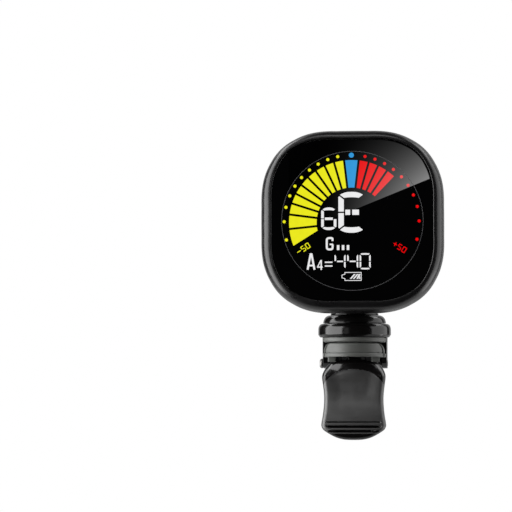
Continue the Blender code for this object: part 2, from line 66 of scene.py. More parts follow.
def box_mm(node):
    """A CAD node's lowest and highest corners in millimetres."""
    return [Vector(corner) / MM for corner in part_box(node)]


def joint_mm(name):
    """A hinge's place in millimetres."""
    for joint in frame["record"]["behaviour"]["joints"]:
        if joint["name"] == name:
            return Vector(joint["pos_m"]) / MM
    raise KeyError(name)


PIVOT = joint_mm("lever_squeeze")
TILT = joint_mm("head_tilt")
DOOR = joint_mm("battery_door_twist")

BEZEL_LOW, BEZEL_HIGH = box_mm("front_shell")
LENS_LOW, LENS_HIGH = box_mm("display_window")
COLLAR_R = box_mm("clip_frame")[1].x
PAD_LOW, PAD_HIGH = box_mm("upper_jaw_pad")
BOOT_TOP_Z = box_mm("lower_jaw_pad")[1].z
RING_LOW, RING_HIGH = box_mm("swivel_retaining_ring")

HEAD_Z = (BEZEL_LOW.z + BEZEL_HIGH.z) / 2
HEAD_HALF = (BEZEL_HIGH.z - BEZEL_LOW.z) / 2
FRONT_Y = BEZEL_LOW.y
PARTING_Y = BEZEL_HIGH.y + 0.1
BACK_Y = DOOR.y
LENS_HALF = (LENS_HIGH.z - LENS_LOW.z) / 2
LENS_FRONT_Y = LENS_LOW.y
WINDOW_Z = (LENS_LOW.z + LENS_HIGH.z) / 2
WINDOW_RISE = WINDOW_Z - HEAD_Z


# ---------------------------------------------------------------- materials


def add_node(tree, kind, **values):
    """A shader node with its inputs set by name."""
    node = tree.nodes.new(kind)
    for key, value in values.items():
        if key in node.inputs:
            node.inputs[key].default_value = value
        else:
            setattr(node, key, value)
    return node


NOISE_RANGE = (0.3, 0.7)


def noise(tree, scale, detail=3.0):
    """Noise in the object's own space, mostly within NOISE_RANGE. At scale 1 it varies over about 1 mm."""
    place = add_node(tree, "ShaderNodeTexCoord")
    node = add_node(tree, "ShaderNodeTexNoise", Scale=scale / MM, Detail=detail)
    tree.links.new(place.outputs["Object"], node.inputs["Vector"])
    return node.outputs["Fac"]


def span(tree, value, low, high, start, end):
    """A value mapped from low and high to start and end, and held there outside them."""
    node = add_node(tree, "ShaderNodeMapRange")
    for socket, number in zip(node.inputs[1:5], (low, high, start, end)):
        socket.default_value = number
    tree.links.new(value, node.inputs["Value"])
    return node.outputs[0]


def tinted(tree, colour, value, spread):
    """A colour that drifts darker and lighter with a noise value."""
    mix = add_node(tree, "ShaderNodeMix", data_type="RGBA")
    dark, light = ([c * factor for c in colour] + [1.0] for factor in (1 - spread, 1 + spread))
    mix.inputs[6].default_value = dark
    mix.inputs[7].default_value = light
    tree.links.new(value, mix.inputs["Factor"])
    return mix.outputs[2]


def new_material(name):
    """A material with its node tree and its shader."""
    material = bpy.data.materials.new(name)
    material.use_nodes = True
    return material, material.node_tree, material.node_tree.nodes["Principled BSDF"]


def surface(name, colour, roughness, drift=0.12, patch=0.15, grain=5.0, relief=0.0, spread=0.05, **sockets):
    """A moulded, turned or cast surface.

    patch sets how fast its colour and gloss drift, grain how fine its texture is, and relief how deep
    that texture is in millimetres. Other words set the shader's own sockets.
    """
    material, tree, shader = new_material(name)
    slow = noise(tree, patch)
    tree.links.new(tinted(tree, colour, slow, drift), shader.inputs["Base Color"])
    rough = span(tree, noise(tree, patch * 3), *NOISE_RANGE, roughness - spread, roughness + spread)
    tree.links.new(rough, shader.inputs["Roughness"])
    if relief:
        bump = add_node(tree, "ShaderNodeBump", Strength=1.0, Distance=relief * MM)
        tree.links.new(noise(tree, grain, 2.0), bump.inputs["Height"])
        tree.links.new(bump.outputs["Normal"], shader.inputs["Normal"])
    for socket, value in sockets.items():
        shader.inputs[socket.replace("_", " ")].default_value = value
    return material


def lit(name, colour):
    """A lit display segment under the window's gloss. Its cells are slightly uneven."""
    material, tree, shader = new_material(name)
    shader.inputs["Base Color"].default_value = [c * 0.05 for c in colour] + [1.0]
    shader.inputs["Roughness"].default_value = 0.04
    shader.inputs["Emission Strength"].default_value = 1.0
    glow = tinted(tree, colour, noise(tree, 0.9, 1.0), 0.06)
    tree.links.new(glow, shader.inputs["Emission Color"])
    return material


GLOSS = surface(
    "clip_gloss_black", (0.004, 0.0037, 0.0036), 0.15,
    grain=0.7, relief=0.004, spread=0.03, Specular_IOR_Level=0.42,
)
BEZEL = surface("bezel_satin_black", (0.0065, 0.0062, 0.0066), 0.30, grain=9.0, relief=0.004)
CASE = surface("case_fine_texture", (0.016, 0.016, 0.017), 0.46, grain=5.0, relief=0.020)
DISH = surface(
    "lever_satin_black", (0.024, 0.0237, 0.0234), 0.46, grain=8.0, relief=0.005, Specular_IOR_Level=1.0
)
HIDDEN = surface("inner_matt_black", (0.004, 0.004, 0.004), 0.65, grain=6.0, relief=0.008)
RUBBER = surface("jaw_rubber_grey", (0.085, 0.088, 0.082), 0.46, grain=6.0, relief=0.012, patch=0.4)
KEYPAD = surface("button_rubber", (0.030, 0.030, 0.032), 0.60, grain=8.0, relief=0.010)
WINDOW = surface("window_black", (0.0006, 0.0006, 0.0007), 0.004, spread=0.003, drift=0.05)
DARK_STEEL = surface("blackened_steel", (0.16, 0.155, 0.15), 0.36, grain=3.0, relief=0.006, Metallic=1.0)
# The spring's steel is darker than bare steel: painted shade for the dark gap between the straps that it sits
# in.
SHADED_SPRING = surface("spring_steel", (0.30, 0.295, 0.285), 0.34, grain=2.0, relief=0.003, Metallic=1.0)
NYLON = surface("washer_nylon", (0.040, 0.040, 0.042), 0.55, grain=6.0, relief=0.006)
PRINT = surface("printed_marks", (0.30, 0.30, 0.31), 0.50)
DIM_PRINT = surface("dial_ring_print", (0.075, 0.075, 0.078), 0.12)

YELLOW_LIT = lit("segments_yellow", (0.80, 0.78, 0.014))
RED_LIT = lit("segments_red", (0.77, 0.002, 0.003))
BLUE_LIT = lit("segments_blue", (0.030, 0.30, 0.67))
WHITE_LIT = lit("segments_white", (0.80, 0.80, 0.81))

# The CAD nodes that are seen as they are: their colour, roughness and other values.
METAL = {"Metallic": 1.0}
LED = (0.85, 0.80, 0.45), 0.30, {}
SWITCH = (0.55, 0.55, 0.54), 0.30, METAL
CONTACT = (0.62, 0.45, 0.18), 0.25, METAL
INSIDE = {
    "lcd_panel": ((0.020, 0.026, 0.026), 0.08, {"IOR": 1.52}),
    "lcd_frame": ((0.78, 0.78, 0.76), 0.45, {"grain": 4.0, "relief": 0.006}),
    "light_guide": ((0.82, 0.84, 0.86), 0.15, {}),
    "backlight_led_left": LED,
    "backlight_led_right": LED,
    "elastomer_strip": ((0.16, 0.15, 0.14), 0.70, {"grain": 3.0, "relief": 0.010}),
    "circuit_board": ((0.012, 0.11, 0.045), 0.36, {"patch": 0.8, "grain": 2.0, "relief": 0.010}),
    "processor_chip": ((0.020, 0.020, 0.021), 0.50, {"grain": 8.0, "relief": 0.006}),
    "crystal": ((0.62, 0.62, 0.60), 0.22, METAL),
    "tact_switch_power": SWITCH,
    "tact_switch_mode": SWITCH,
    "tact_switch_pitch": SWITCH,
    "battery_holder": ((0.020, 0.020, 0.021), 0.45, {"grain": 5.0, "relief": 0.010}),
    "negative_contact": CONTACT,
    "positive_contact": CONTACT,
    "coin_cell": ((0.66, 0.66, 0.64), 0.24, {"grain": 2.0, "relief": 0.003, **METAL}),
    "piezo_disc": ((0.66, 0.48, 0.20), 0.28, METAL),
    "piezo_ceramic": ((0.74, 0.72, 0.68), 0.40, {"grain": 4.0, "relief": 0.004}),
    "piezo_lead_signal": ((0.42, 0.020, 0.020), 0.45, {}),
    "piezo_lead_ground": ((0.015, 0.015, 0.015), 0.45, {}),
    "wave_washer": ((0.50, 0.50, 0.49), 0.28, METAL),
}
for node, (colour, roughness, looks) in INSIDE.items():
    mesh = frame["nodes"][node].data
    mesh.materials.clear()
    mesh.materials.append(surface(f"{node}_finish", colour, roughness, **looks))


# ---------------------------------------------------------------- mesh tools


def smooth_curve(points, steps):
    """Points on a Catmull-Rom curve through the given ones, with so many steps between each two."""
    vectors = [Vector(point) for point in points]
    last = len(vectors) - 1
    curve = []
    for i in range(last):
        p0, p1, p2, p3 = (vectors[min(max(i + k, 0), last)] for k in (-1, 0, 1, 2))
        for step in range(steps):
            t = step / steps
            square, cube = t * t, t * t * t
            bend = 2 * p0 - 5 * p1 + 4 * p2 - p3
            end = 3 * p1 - p0 - 3 * p2 + p3
            curve.append(0.5 * (2 * p1 + (p2 - p0) * t + bend * square + end * cube))
    curve.append(vectors[-1])
    return curve


def rounded(points, radius, closed=False, steps=5):
    """A polyline with its corners rounded by about the radius."""
    vectors = [Vector(point) for point in points]
    count = len(vectors)
    result = []
    for i, corner in enumerate(vectors):
        if not closed and i in (0, count - 1):
            result.append(corner)
            continue
        before, after = vectors[i - 1], vectors[(i + 1) % count]
        cut = min(radius, (before - corner).length * 0.45, (after - corner).length * 0.45)
        start = corner + (before - corner).normalized() * cut
        end = corner + (after - corner).normalized() * cut
        for step in range(steps + 1):
            t = step / steps
            result.append(start * (1 - t) ** 2 + corner * 2 * t * (1 - t) + end * t**2)
    return result


def arc(centre, radius, start, end, count):
    """Points along an arc, with its angles in degrees."""
    angles = [math.radians(start + (end - start) * i / (count - 1)) for i in range(count)]
    return [Vector((centre[0] + radius * math.cos(a), centre[1] + radius * math.sin(a))) for a in angles]


def skin(rings, looped=False):
    """Quads between rings of points, capped at both ends or closed onto the first ring."""
    bm = bmesh.new()
    rows = [[bm.verts.new(point) for point in ring] for ring in rings]
    pairs = list(zip(rows, rows[1:]))
    if looped:
        pairs.append((rows[-1], rows[0]))
    else:
        bm.faces.new(rows[0])
        bm.faces.new(rows[-1])
    for row, following in pairs:
        for i in range(len(row)):
            j = (i + 1) % len(row)
            bm.faces.new((row[i], row[j], following[j], following[i]))
    return bm


TURN_TO = {
    "X": Matrix.Rotation(math.pi / 2, 4, "Y"),
    "Y": Matrix.Rotation(-math.pi / 2, 4, "X"),
    "Z": Matrix.Identity(4),
}


def lathe(profile, axis="Z", centre=(0, 0, 0), looped=False, steps=128):
    """A (radius, height) profile turned round an axis through the centre."""
    bm = bmesh.new()
    verts = [bm.verts.new((r, 0, h)) for r, h in profile]
    ends = list(zip(verts, verts[1:]))
    if looped:
        ends.append((verts[-1], verts[0]))
    edges = [bm.edges.new(pair) for pair in ends]
    bmesh.ops.spin(bm, geom=verts + edges, axis=(0, 0, 1), cent=(0, 0, 0), angle=2 * math.pi, steps=steps)
    bmesh.ops.remove_doubles(bm, verts=bm.verts, dist=0.0005)
    bmesh.ops.transform(bm, matrix=Matrix.Translation(centre) @ TURN_TO[axis], verts=bm.verts)
    return bm


def along(axis, u, v, depth):
    """A point of a flat outline laid across one axis."""
    return Vector({"X": (depth, u, v), "Y": (u, depth, v), "Z": (u, v, depth)}[axis])


def slab(outline, axis, low, high, bm=None):
    """A flat outline extruded along an axis."""
    bm = bm or bmesh.new()
    face = bm.faces.new([bm.verts.new(along(axis, u, v, low)) for u, v in outline])
    grown = bmesh.ops.extrude_face_region(bm, geom=[face])["geom"]
    moved = [item for item in grown if isinstance(item, bmesh.types.BMVert)]
    bmesh.ops.translate(bm, vec=along(axis, 0, 0, high - low), verts=moved)
    return bm


def drum(radius, axis, start, end, centre=(0, 0, 0), steps=64):
    """A plain cylinder for cutting with, from start to end along its axis."""
    return lathe([(0, end), (radius, end), (radius, start), (0, start)], axis, centre, steps=steps)


def add_object(name, data):
    """Puts an object made from its data into the scene."""
    obj = bpy.data.objects.new(name, data)
    bpy.context.scene.collection.objects.link(obj)
    return obj


def to_object(name, bm):
    """Gives a mesh in millimetres an object in metres."""
    bmesh.ops.recalc_face_normals(bm, faces=bm.faces)
    bmesh.ops.scale(bm, vec=(MM, MM, MM), verts=bm.verts)
    mesh = bpy.data.meshes.new(name)
    bm.to_mesh(mesh)
    bm.free()
    return add_object(name, mesh)


def in_millimetres(mesh):
    """A finished mesh opened for more work."""
    bm = bmesh.new()
    bm.from_mesh(mesh)
    bmesh.ops.scale(bm, vec=(1 / MM,) * 3, verts=bm.verts)
    return bm


def combine(obj, operation, *meshes):
    """Joins meshes to an object, or cuts them from it, and leaves a plain mesh."""
    for bm in meshes:
        other = to_object("tool", bm)
        modifier = obj.modifiers.new("join", "BOOLEAN")
        modifier.operation = operation
        modifier.solver = "EXACT"
        modifier.object = other
        apply_modifiers(obj)
        bpy.data.objects.remove(other, do_unlink=True)


def apply_modifiers(obj):
    """Replaces an object's mesh with what its modifiers make of it."""
    graph = bpy.context.evaluated_depsgraph_get()
    mesh = bpy.data.meshes.new_from_object(obj.evaluated_get(graph))
    obj.modifiers.clear()
    obj.data = mesh


def place(obj, material, body, slot, *nodes, sharp=35, edge=0.0):
    """Finishes a piece: its shading, rounded edges and material, its body and the CAD nodes it stands for."""
    mesh = obj.data
    mesh.materials.clear()
    mesh.materials.append(material)
    mesh.shade_smooth()
    if edge:
        bevel = obj.modifiers.new("edges", "BEVEL")
        bevel.width = edge * MM
        bevel.segments = 3
        bevel.limit_method = "ANGLE"
        bevel.angle_limit = math.radians(sharp)
        bevel.harden_normals = True
    else:
        mesh.set_sharp_from_angle(angle=math.radians(sharp))
    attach(obj, body)
    if nodes:
        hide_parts(*nodes)


def smoothstep(low, high, value):
    """0 below low, 1 above high, and a smooth rise between."""
    t = min(max((value - low) / (high - low), 0.0), 1.0)
    return t * t * (3 - 2 * t)


# ---------------------------------------------------------------- the head


SQUIRCLE_POWER = 3.0
SQUIRCLE_SWELL = 0.013
WINDOW_FULLNESS = 0.4
SCREW_REACH = 15.5
BUTTONS = ("power", "mode", "pitch")


def squircle(half, y, rise=0.0, count=240):
    """The head's rounded square at a depth: a superellipse with slightly swollen shoulders.

    It has fuller corners where it is raised to the window's height.
    """
    power = SQUIRCLE_POWER + WINDOW_FULLNESS * rise / WINDOW_RISE
    ring = []
    for i in range(count):
        angle = 2 * math.pi * (i + 0.5) / count
        c, s = math.cos(angle), math.sin(angle)
        reach = half / (abs(c) ** power + abs(s) ** power) ** (1 / power)
        reach *= 1 + SQUIRCLE_SWELL * max(math.sin(4 * angle) ** 2 - 0.35, 0)
        ring.append((reach * c, y, HEAD_Z + rise + reach * s))
    return ring


def make_bezel():
    """The front shell: a crown that falls away from the window to the rim, and the ledge behind it."""
    lip = LENS_HALF + 0.18
    rim, wall = PARTING_Y - 0.1, 21.8
    crown = [(lip + 0.08, FRONT_Y + 0.06), (lip + 0.5, FRONT_Y + 0.12), (lip + 1.05, FRONT_Y + 0.36)]
    crown += [(lip + 1.55, FRONT_Y + 0.8), (lip + 1.98, FRONT_Y + 1.45), (lip + 2.3, FRONT_Y + 2.3)]
    crown += [(HEAD_HALF - 0.17, FRONT_Y + 3.3), (HEAD_HALF - 0.05, FRONT_Y + 4.3)]
    crown.append((HEAD_HALF, FRONT_Y + 5.1))
    outside = [(lip, LENS_FRONT_Y + 1.2), (lip, FRONT_Y + 0.12), *smooth_curve(crown, 6)]
    outside += rounded([(HEAD_HALF, -10.6), (HEAD_HALF - 0.01, rim), (wall, rim)], 0.14)[1:-1]
    rings = []
    for half, y in outside:
        rings.append(squircle(half, y, WINDOW_RISE * (1 - smoothstep(lip, HEAD_HALF, half))))
    rings += [squircle(half, y) for half, y in ((wall, rim), (wall, -13.1), (19.2, -13.1))]
    rings += [squircle(half, -14.05, WINDOW_RISE) for half in (19.2, lip)]
    shell = to_object("bezel_shell", skin(rings, looped=True))
    place(shell, BEZEL, "head", "bezel_plastic", "front_shell", sharp=40)


def make_back():
    """The rear shell: a soft dome to a flat back, hollow inside, with its screw, door and button openings."""
    side = [(23.3, PARTING_Y + 0.1), (23.27, -9.7), (23.02, -8.75), (22.48, -7.85), (21.52, -6.65)]
    side += [(20.25, -5.45), (19.15, -4.4), (18.3, BACK_Y - 0.1), (17.3, BACK_Y)]
    dome = smooth_curve(side, 5)
    sections = rounded([(22.9, PARTING_Y + 0.08), (23.3, PARTING_Y + 0.1), dome[3]], 0.12)[:-1] + dome[3:]
    sections += [(half, BACK_Y) for half in (15.0, 11.0, 6.0)]
    shell = to_object("back_shell", skin([squircle(half, y) for half, y in sections]))
    hollow = [(21.7, -10.6), (21.6, -9.2), (21.0, -8.0), (20.0, -6.8), (18.7, -5.7), (17.2, -4.8)]
    cavity = to_object("cavity", skin([squircle(half, y, count=96) for half, y in hollow]))
    sides = (-SCREW_REACH, SCREW_REACH)
    screws = [(x, 0, HEAD_Z + z) for x in sides for z in sides]
    for spot in screws:
        combine(cavity, "DIFFERENCE", drum(2.5, "Y", PARTING_Y, -3, spot, 40))
    combine(shell, "DIFFERENCE", in_millimetres(cavity.data))
    bpy.data.objects.remove(cavity, do_unlink=True)
    for spot in screws:
        combine(shell, "DIFFERENCE", drum(1.75, "Y", -7.3, 0, spot, 48), drum(0.95, "Y", -12, -6, spot, 32))
    door = (0, 0, DOOR.z)
    combine(shell, "DIFFERENCE", drum(11.7, "Y", -4.35, 0, door, 128), drum(10.9, "Y", -6, -4, door, 128))
    for name in BUTTONS:
        low, high = box_mm(f"{name}_button")
        middle = (low + high) / 2
        hole = [(0, 0), (2.75, 0), (2.35, BACK_Y - 0.35), (2.35, -6), (0, -6)]
        combine(shell, "DIFFERENCE", lathe(hole, "Y", (middle.x, 0, middle.z), steps=64))
    place(shell, CASE, "head", "case_plastic", "rear_shell", sharp=38)


def make_ears():
    """The two ears of the tilt hinge, grown out of the rear shell."""
    for name, near, far in (("left", -6.0, -3.9), ("right", 3.9, 6.0)):
        tip = arc((TILT.y, TILT.z), 2.6, -90, 90, 33)
        outline = [*tip, (-5.2, TILT.z + 2.9), (-5.6, TILT.z - 2.5)]
        ear = to_object(f"tilt_ear_{name}", slab(outline, "X", near, far))
        combine(ear, "DIFFERENCE", drum(1.0, "X", -9, 9, TILT, 48))
        place(ear, CASE, "head", "case_plastic", "rear_shell", edge=0.18)


def make_door():
    """The battery door: a shallow dish with a coin slot, two locking tabs and a dotted rim."""
    profile = [(0, -3.62), (9.3, -3.62), (9.8, -3.45), (11.5, -3.45), (11.5, -4.2), (10.7, -4.2)]
    profile += [(10.7, -5.7), (10.2, -5.7), (10.2, -5.0), (0, -5.0)]
    door = to_object("battery_cover", lathe(rounded(profile, 0.2), "Y", (0, 0, DOOR.z)))
    for x in (-11.5, 10.3):
        tab = [(x, DOOR.z - 1.6), (x + 1.2, DOOR.z - 1.6), (x + 1.2, DOOR.z + 1.6), (x, DOOR.z + 1.6)]
        combine(door, "UNION", slab(tab, "Y", -5.65, -4.95))
    ends = arc((4.8, DOOR.z), 0.75, -90, 90, 17) + arc((-4.8, DOOR.z), 0.75, 90, 270, 17)
    combine(door, "DIFFERENCE", slab(ends, "Y", -4.2, -3))
    for i in range(6):
        angle = math.radians(40 + 20 * i)
        spot = (8.2 * math.cos(angle), 0, DOOR.z + 8.2 * math.sin(angle))
        combine(door, "DIFFERENCE", drum(0.35, "Y", -3.85, -3, spot, 24))
    place(door, CASE, "battery_door", "case_plastic", "battery_door")


def make_buttons():
    """Three domed rubber buttons, each with a raised mark of its own."""
    for name in BUTTONS:
        low, high = box_mm(f"{name}_button")
        x, z, top = (low.x + high.x) / 2, (low.z + high.z) / 2, high.y
        cap = [(0, top), (1.2, top - 0.05), (1.85, top - 0.3), (2.2, top - 0.8), (2.2, -5.1), (2.75, -5.1)]
        cap += [(2.75, -5.8), (1.0, -5.8), (1.0, low.y), (0, low.y)]
        body = f"{name}_button"
        button = to_object(f"{name}_key", lathe(rounded(cap, 0.2), "Y", (x, 0, z), steps=64))
        place(button, KEYPAD, body, "button_rubber", body)
        mark = bmesh.new()
        for outline in BUTTON_MARKS[name]:
            slab([(x - u, z + v) for u, v in outline], "Y", top - 0.12, top - 0.005, mark)
        place(to_object(f"{name}_mark", mark), PRINT, body, "button_rubber")


def ribbon(points, width, closed=False):
    """The outline quads of a stroke of even width along a polyline, with its corners mitred."""
    vectors = [Vector(point) for point in points]
    count = len(vectors)
    sides = []
    for i, point in enumerate(vectors):
        first = i == 0 and not closed
        last = i == count - 1 and not closed
        before = (point - vectors[i - 1]).normalized() if not first else None
        after = (vectors[(i + 1) % count] - point).normalized() if not last else None
        heading = before or after
        if before and after:
            heading = (before + after).normalized()
        normal = Vector((-heading.y, heading.x))
        leg = after or before
        stretch = max(abs(normal.dot(Vector((-leg.y, leg.x)))), 0.4)
        reach = normal * (width / 2 / stretch)
        sides.append((point + reach, point - reach))
    pairs = list(zip(sides, sides[1:]))
    if closed:
        pairs.append((sides[-1], sides[0]))
    return [[a[0], b[0], b[1], a[1]] for a, b in pairs]


def strokes(width, *paths):
    """Ribbons of one width along several polylines."""
    return [outline for path in paths for outline in ribbon(path, width)]


BUTTON_MARKS = {
    "power": strokes(0.16, arc((0, 0), 0.72, 125, 415, 25), [(0, 0.2), (0, 0.95)]),
    "mode": strokes(0.16, [(-0.7, 0.3), (0.7, 0.3)], [(-0.7, -0.3), (0.7, -0.3)]),
    "pitch": strokes(0.16, [(-0.7, 0), (-0.09, 0)], [(0.09, 0), (0.7, 0)])
    + strokes(0.17, [(0, -0.7), (0, 0.7)]),
}


def make_case_screws():
    """Cross-head screws, deep in the four corners of the back."""
    profile = [(0, -6.05), (0.9, -6.1), (1.35, -6.3), (1.55, -6.6), (1.55, -7.15), (0.7, -7.15)]
    profile += [(0.7, -12.2), (0, -12.6)]
    slot = [(-0.9, -0.2), (0.9, -0.2), (0.9, 0.2), (-0.9, 0.2)]
    for name, x in (("left", -SCREW_REACH), ("right", SCREW_REACH)):
        for level, z in (("lower", HEAD_Z - SCREW_REACH), ("upper", HEAD_Z + SCREW_REACH)):
            turned = lathe(rounded(profile, 0.1), "Y", (x, 0, z), steps=48)
            screw = to_object(f"corner_screw_{level}_{name}", turned)
            for outline in (slot, [(v, u) for u, v in slot]):
                combine(screw, "DIFFERENCE", slab([(x + u, z + v) for u, v in outline], "Y", -6.7, -5))
            place(screw, DARK_STEEL, "head", "pin_steel", f"case_screw_{level}_{name}", sharp=30)


# ---------------------------------------------------------------- the window and its dial

# Everything shown on the window is laid out round one point just below its middle. The dial and the thin
# ring have their own centres a little beside that. The dial's angles turn from the top, in degrees.
PRINT_X, PRINT_Z = 0.26, -0.48
DIAL_X, DIAL_Z = -0.3, -0.25
RING_X, RING_Z = -0.12, 0.18
SEGMENT_DEPTH = (LENS_FRONT_Y - 0.025, LENS_FRONT_Y + 0.05)
BAR_R = (8.85, 15.85)
BAR_GAP = 0.56
BAR_EDGES = (6.7, 16.1, 25.3, 34.6, 43.8, 53.0, 62.4, 72.0, 82.4, 95.8, 112.7)
RED_BARS = 4
DOT_R = 17.1
DOT_ANGLES = (11.7, 20.5, 29.5, 38.5, 47.8, 57.0, 66.4, 76.7, 89.1, 104.8)
RING_R = 17.93
RING_FLAT = 0.985


def dial(radius, angle):
    """A point on the dial, from its radius and its angle from the top in degrees."""
    turn = math.radians(angle)
    return Vector((DIAL_X + radius * math.sin(turn), DIAL_Z + radius * math.cos(turn)))


def bar(start, end, lean=0.0):
    """A dial bar between two angles, with half of the even gap taken from each side.

    lean moves the inner end of its start edge, in degrees.
    """
    steps = 5
    inner, outer = (math.degrees(BAR_GAP / 2 / radius) for radius in BAR_R)
    wide, narrow = end - start - 2 * outer, end - start - lean - 2 * inner
    top = [dial(BAR_R[1], start + outer + wide * i / steps) for i in range(steps + 1)]
    low = [dial(BAR_R[0], end - inner - narrow * i / steps) for i in range(steps + 1)]
    return top + low


def dot(angle, size):
    """A round dial dot."""
    return arc(dial(DOT_R, angle), size / 2, 0, 345, 24)


ALL_SEGMENTS = {"top", "bottom", "middle", "upper_left", "upper_right", "lower_left", "lower_right"}
DIGITS = {
    "0": ALL_SEGMENTS - {"middle"},
    "4": {"upper_left", "middle", "upper_right", "lower_right"},
    "5": {"top", "upper_left", "middle", "lower_right", "bottom"},
    "6": ALL_SEGMENTS - {"upper_right"},
}


def block(left, right, low, high):
    """A rectangle's corners."""
    return [Vector(corner) for corner in ((left, low), (right, low), (right, high), (left, high))]


def upside_down(outline, height):
    """An outline mirrored within a height."""
    return [Vector((p.x, height - p.y)) for p in outline]


def cap_segment(width, height, stroke, bow, tip):
    """A digit's top segment: a bowed bar with slanted ends."""
    outer, inner = [], []
    foot = stroke + 0.15 * tip
    for i in range(11):
        u = 2 * i / 10 - 1
        outer.append(Vector((width / 2 + u * (width / 2 - tip), height - bow * abs(u) ** 2.5)))
        inner.append(Vector((width / 2 - u * (width / 2 - foot), height - stroke - 0.2 * bow * u * u)))
    return outer + inner


def side_segment(height, stroke, bow, tip, gap):
    """A digit's upper left segment: an upright bar whose top end is slanted along the top segment."""
    foot = Vector((stroke + 0.15 * tip, height - stroke - 0.2 * bow))
    start = Vector((tip, height - bow))
    slope = (foot.y - start.y) / (foot.x - start.x)
    drop = gap * math.sqrt(1 + slope**2)
    near = Vector((0.6 * tip, start.y + slope * -0.4 * tip - drop))
    far = Vector((stroke, start.y + slope * (stroke - tip) - drop))
    low = height / 2 + gap / 2
    return [Vector((0, low)), Vector((0, near.y - 0.5 * tip)), near, far, Vector((stroke, low))]


def digit(text, x, z, width, height, stroke, bow=0.1, tip=0.26, gap=0.15):
    """A seven-segment digit's lit segments, with its lower left corner at a place."""
    cap = cap_segment(width, height, stroke, bow, tip)
    side = side_segment(height, stroke, bow, tip, gap)
    inset, half = stroke + gap, 0.46 * stroke
    shapes = {"top": cap, "bottom": upside_down(cap, height)}
    shapes["middle"] = block(inset, width - stroke - gap, height / 2 - half, height / 2 + half)
    shapes["upper_left"], shapes["lower_left"] = side, upside_down(side, height)
    for level in ("upper", "lower"):
        shapes[f"{level}_right"] = [Vector((width - p.x, p.y)) for p in shapes[f"{level}_left"]]
    return [[Vector((x + p.x, z + p.y)) for p in shapes[name]] for name in sorted(DIGITS[text])]


def turned_about(outlines, centre, degrees):
    """Outlines laid round the origin, turned and moved to a centre."""
    turn = Matrix.Rotation(math.radians(degrees), 2)
    return [[turn @ Vector(point) + Vector(centre) for point in outline] for outline in outlines]


def big_note():
    """The large note letter: a bowed top and bottom, a split stem and two middle blocks."""
    width, height, stroke = 6.62, 10.4, 1.38
    curve = (height, stroke, 0.74, 0.4)
    upper = [cap_segment(width, *curve), side_segment(*curve, 0.38)]
    shapes = upper + [upside_down(shape, height) for shape in upper]
    for left, right in ((1.76, 2.98), (3.5, 5.22)):
        shapes.append(block(left, right, height / 2 - 0.67, height / 2 + 0.67))
    return [[Vector((p.x - 3.62, p.y - 2.88)) for p in shape] for shape in shapes]


def letter_g():
    """The small note name."""
    path = [(-5.12, -4.95), (-5.12, -4.2), (-6.58, -4.2), (-6.58, -7.08), (-5.1, -7.08), (-5.1, -5.82)]
    return ribbon(rounded(path, 0.62), 0.5) + ribbon([(-5.0, -5.8), (-5.85, -5.8)], 0.38)


def pitch_line():
    """The reference pitch: a note name and three digits."""
    outlines = ribbon([(-11.45, -12.2), (-10.7, -8.3), (-10.45, -8.3), (-9.7, -12.2)], 0.5)
    outlines += ribbon([(-11.1, -11.15), (-10.05, -11.15)], 0.42)
    outlines += ribbon([(-8.0, -12.27), (-8.0, -9.75)], 0.34) + ribbon([(-8.1, -9.85), (-8.92, -11.5)], 0.26)
    outlines += ribbon([(-9.05, -11.55), (-7.62, -11.55)], 0.3)
    outlines += strokes(0.34, *([(-7.08, z), (-5.14, z)] for z in (-10.34, -11.29)))
    for text, x in (("4", -4.62), ("4", -1.42), ("0", 1.73)):
        outlines += digit(text, x, -12.2, 2.8, 4.13, 0.4, gap=0.24)
    return outlines


def battery_icon():
    """A battery with a nub on its left and three slanted charge bars."""
    case = [(-2.0, -12.95), (2.12, -12.95), (2.12, -14.97), (-2.0, -14.97), (-2.0, -14.5), (-2.75, -14.3)]
    case += [(-2.75, -13.6), (-2.0, -13.4)]
    outlines = ribbon(case, 0.17, closed=True)
    for x, lean in ((-0.78, 1.05), (-0.02, 1.05), (0.9, 0.62)):
        outlines.append([(x, -14.56), (x + 0.46, -14.56), (x + 0.46 + lean, -13.36), (x + lean, -13.36)])
    outlines.append([(1.52, -14.56), (1.95, -14.56), (1.8, -13.7)])
    return outlines


def pips():
    """Three plain pips beside the small note name."""
    return [block(x - 0.32, x + 0.32, -7.25, -6.0) for x in (-3.7, -2.45, -1.2)]


def scale_end(sign):
    """A sign and 50, laid flat round the origin."""
    outlines = ribbon([(-2.1, 0.0), (-1.1, 0.0)], 0.24)
    if sign == "+":
        outlines += strokes(0.24, [(-1.6, -0.5), (-1.6, -0.12)], [(-1.6, 0.12), (-1.6, 0.5)])
    for text, x in (("5", -0.8), ("0", 0.5)):
        outlines += digit(text, x, -0.78, 1.05, 1.56, 0.24, bow=0.05, tip=0.1, gap=0.03)
    return outlines


def show(name, outlines, material, depth=SEGMENT_DEPTH):
    """One piece made of flat shapes on the window."""
    bm = bmesh.new()
    for outline in outlines:
        slab([(PRINT_X + x, WINDOW_Z + PRINT_Z + z) for x, z in outline], "Y", *depth, bm)
    place(to_object(name, bm), material, "head", "lcd_glass", sharp=30)


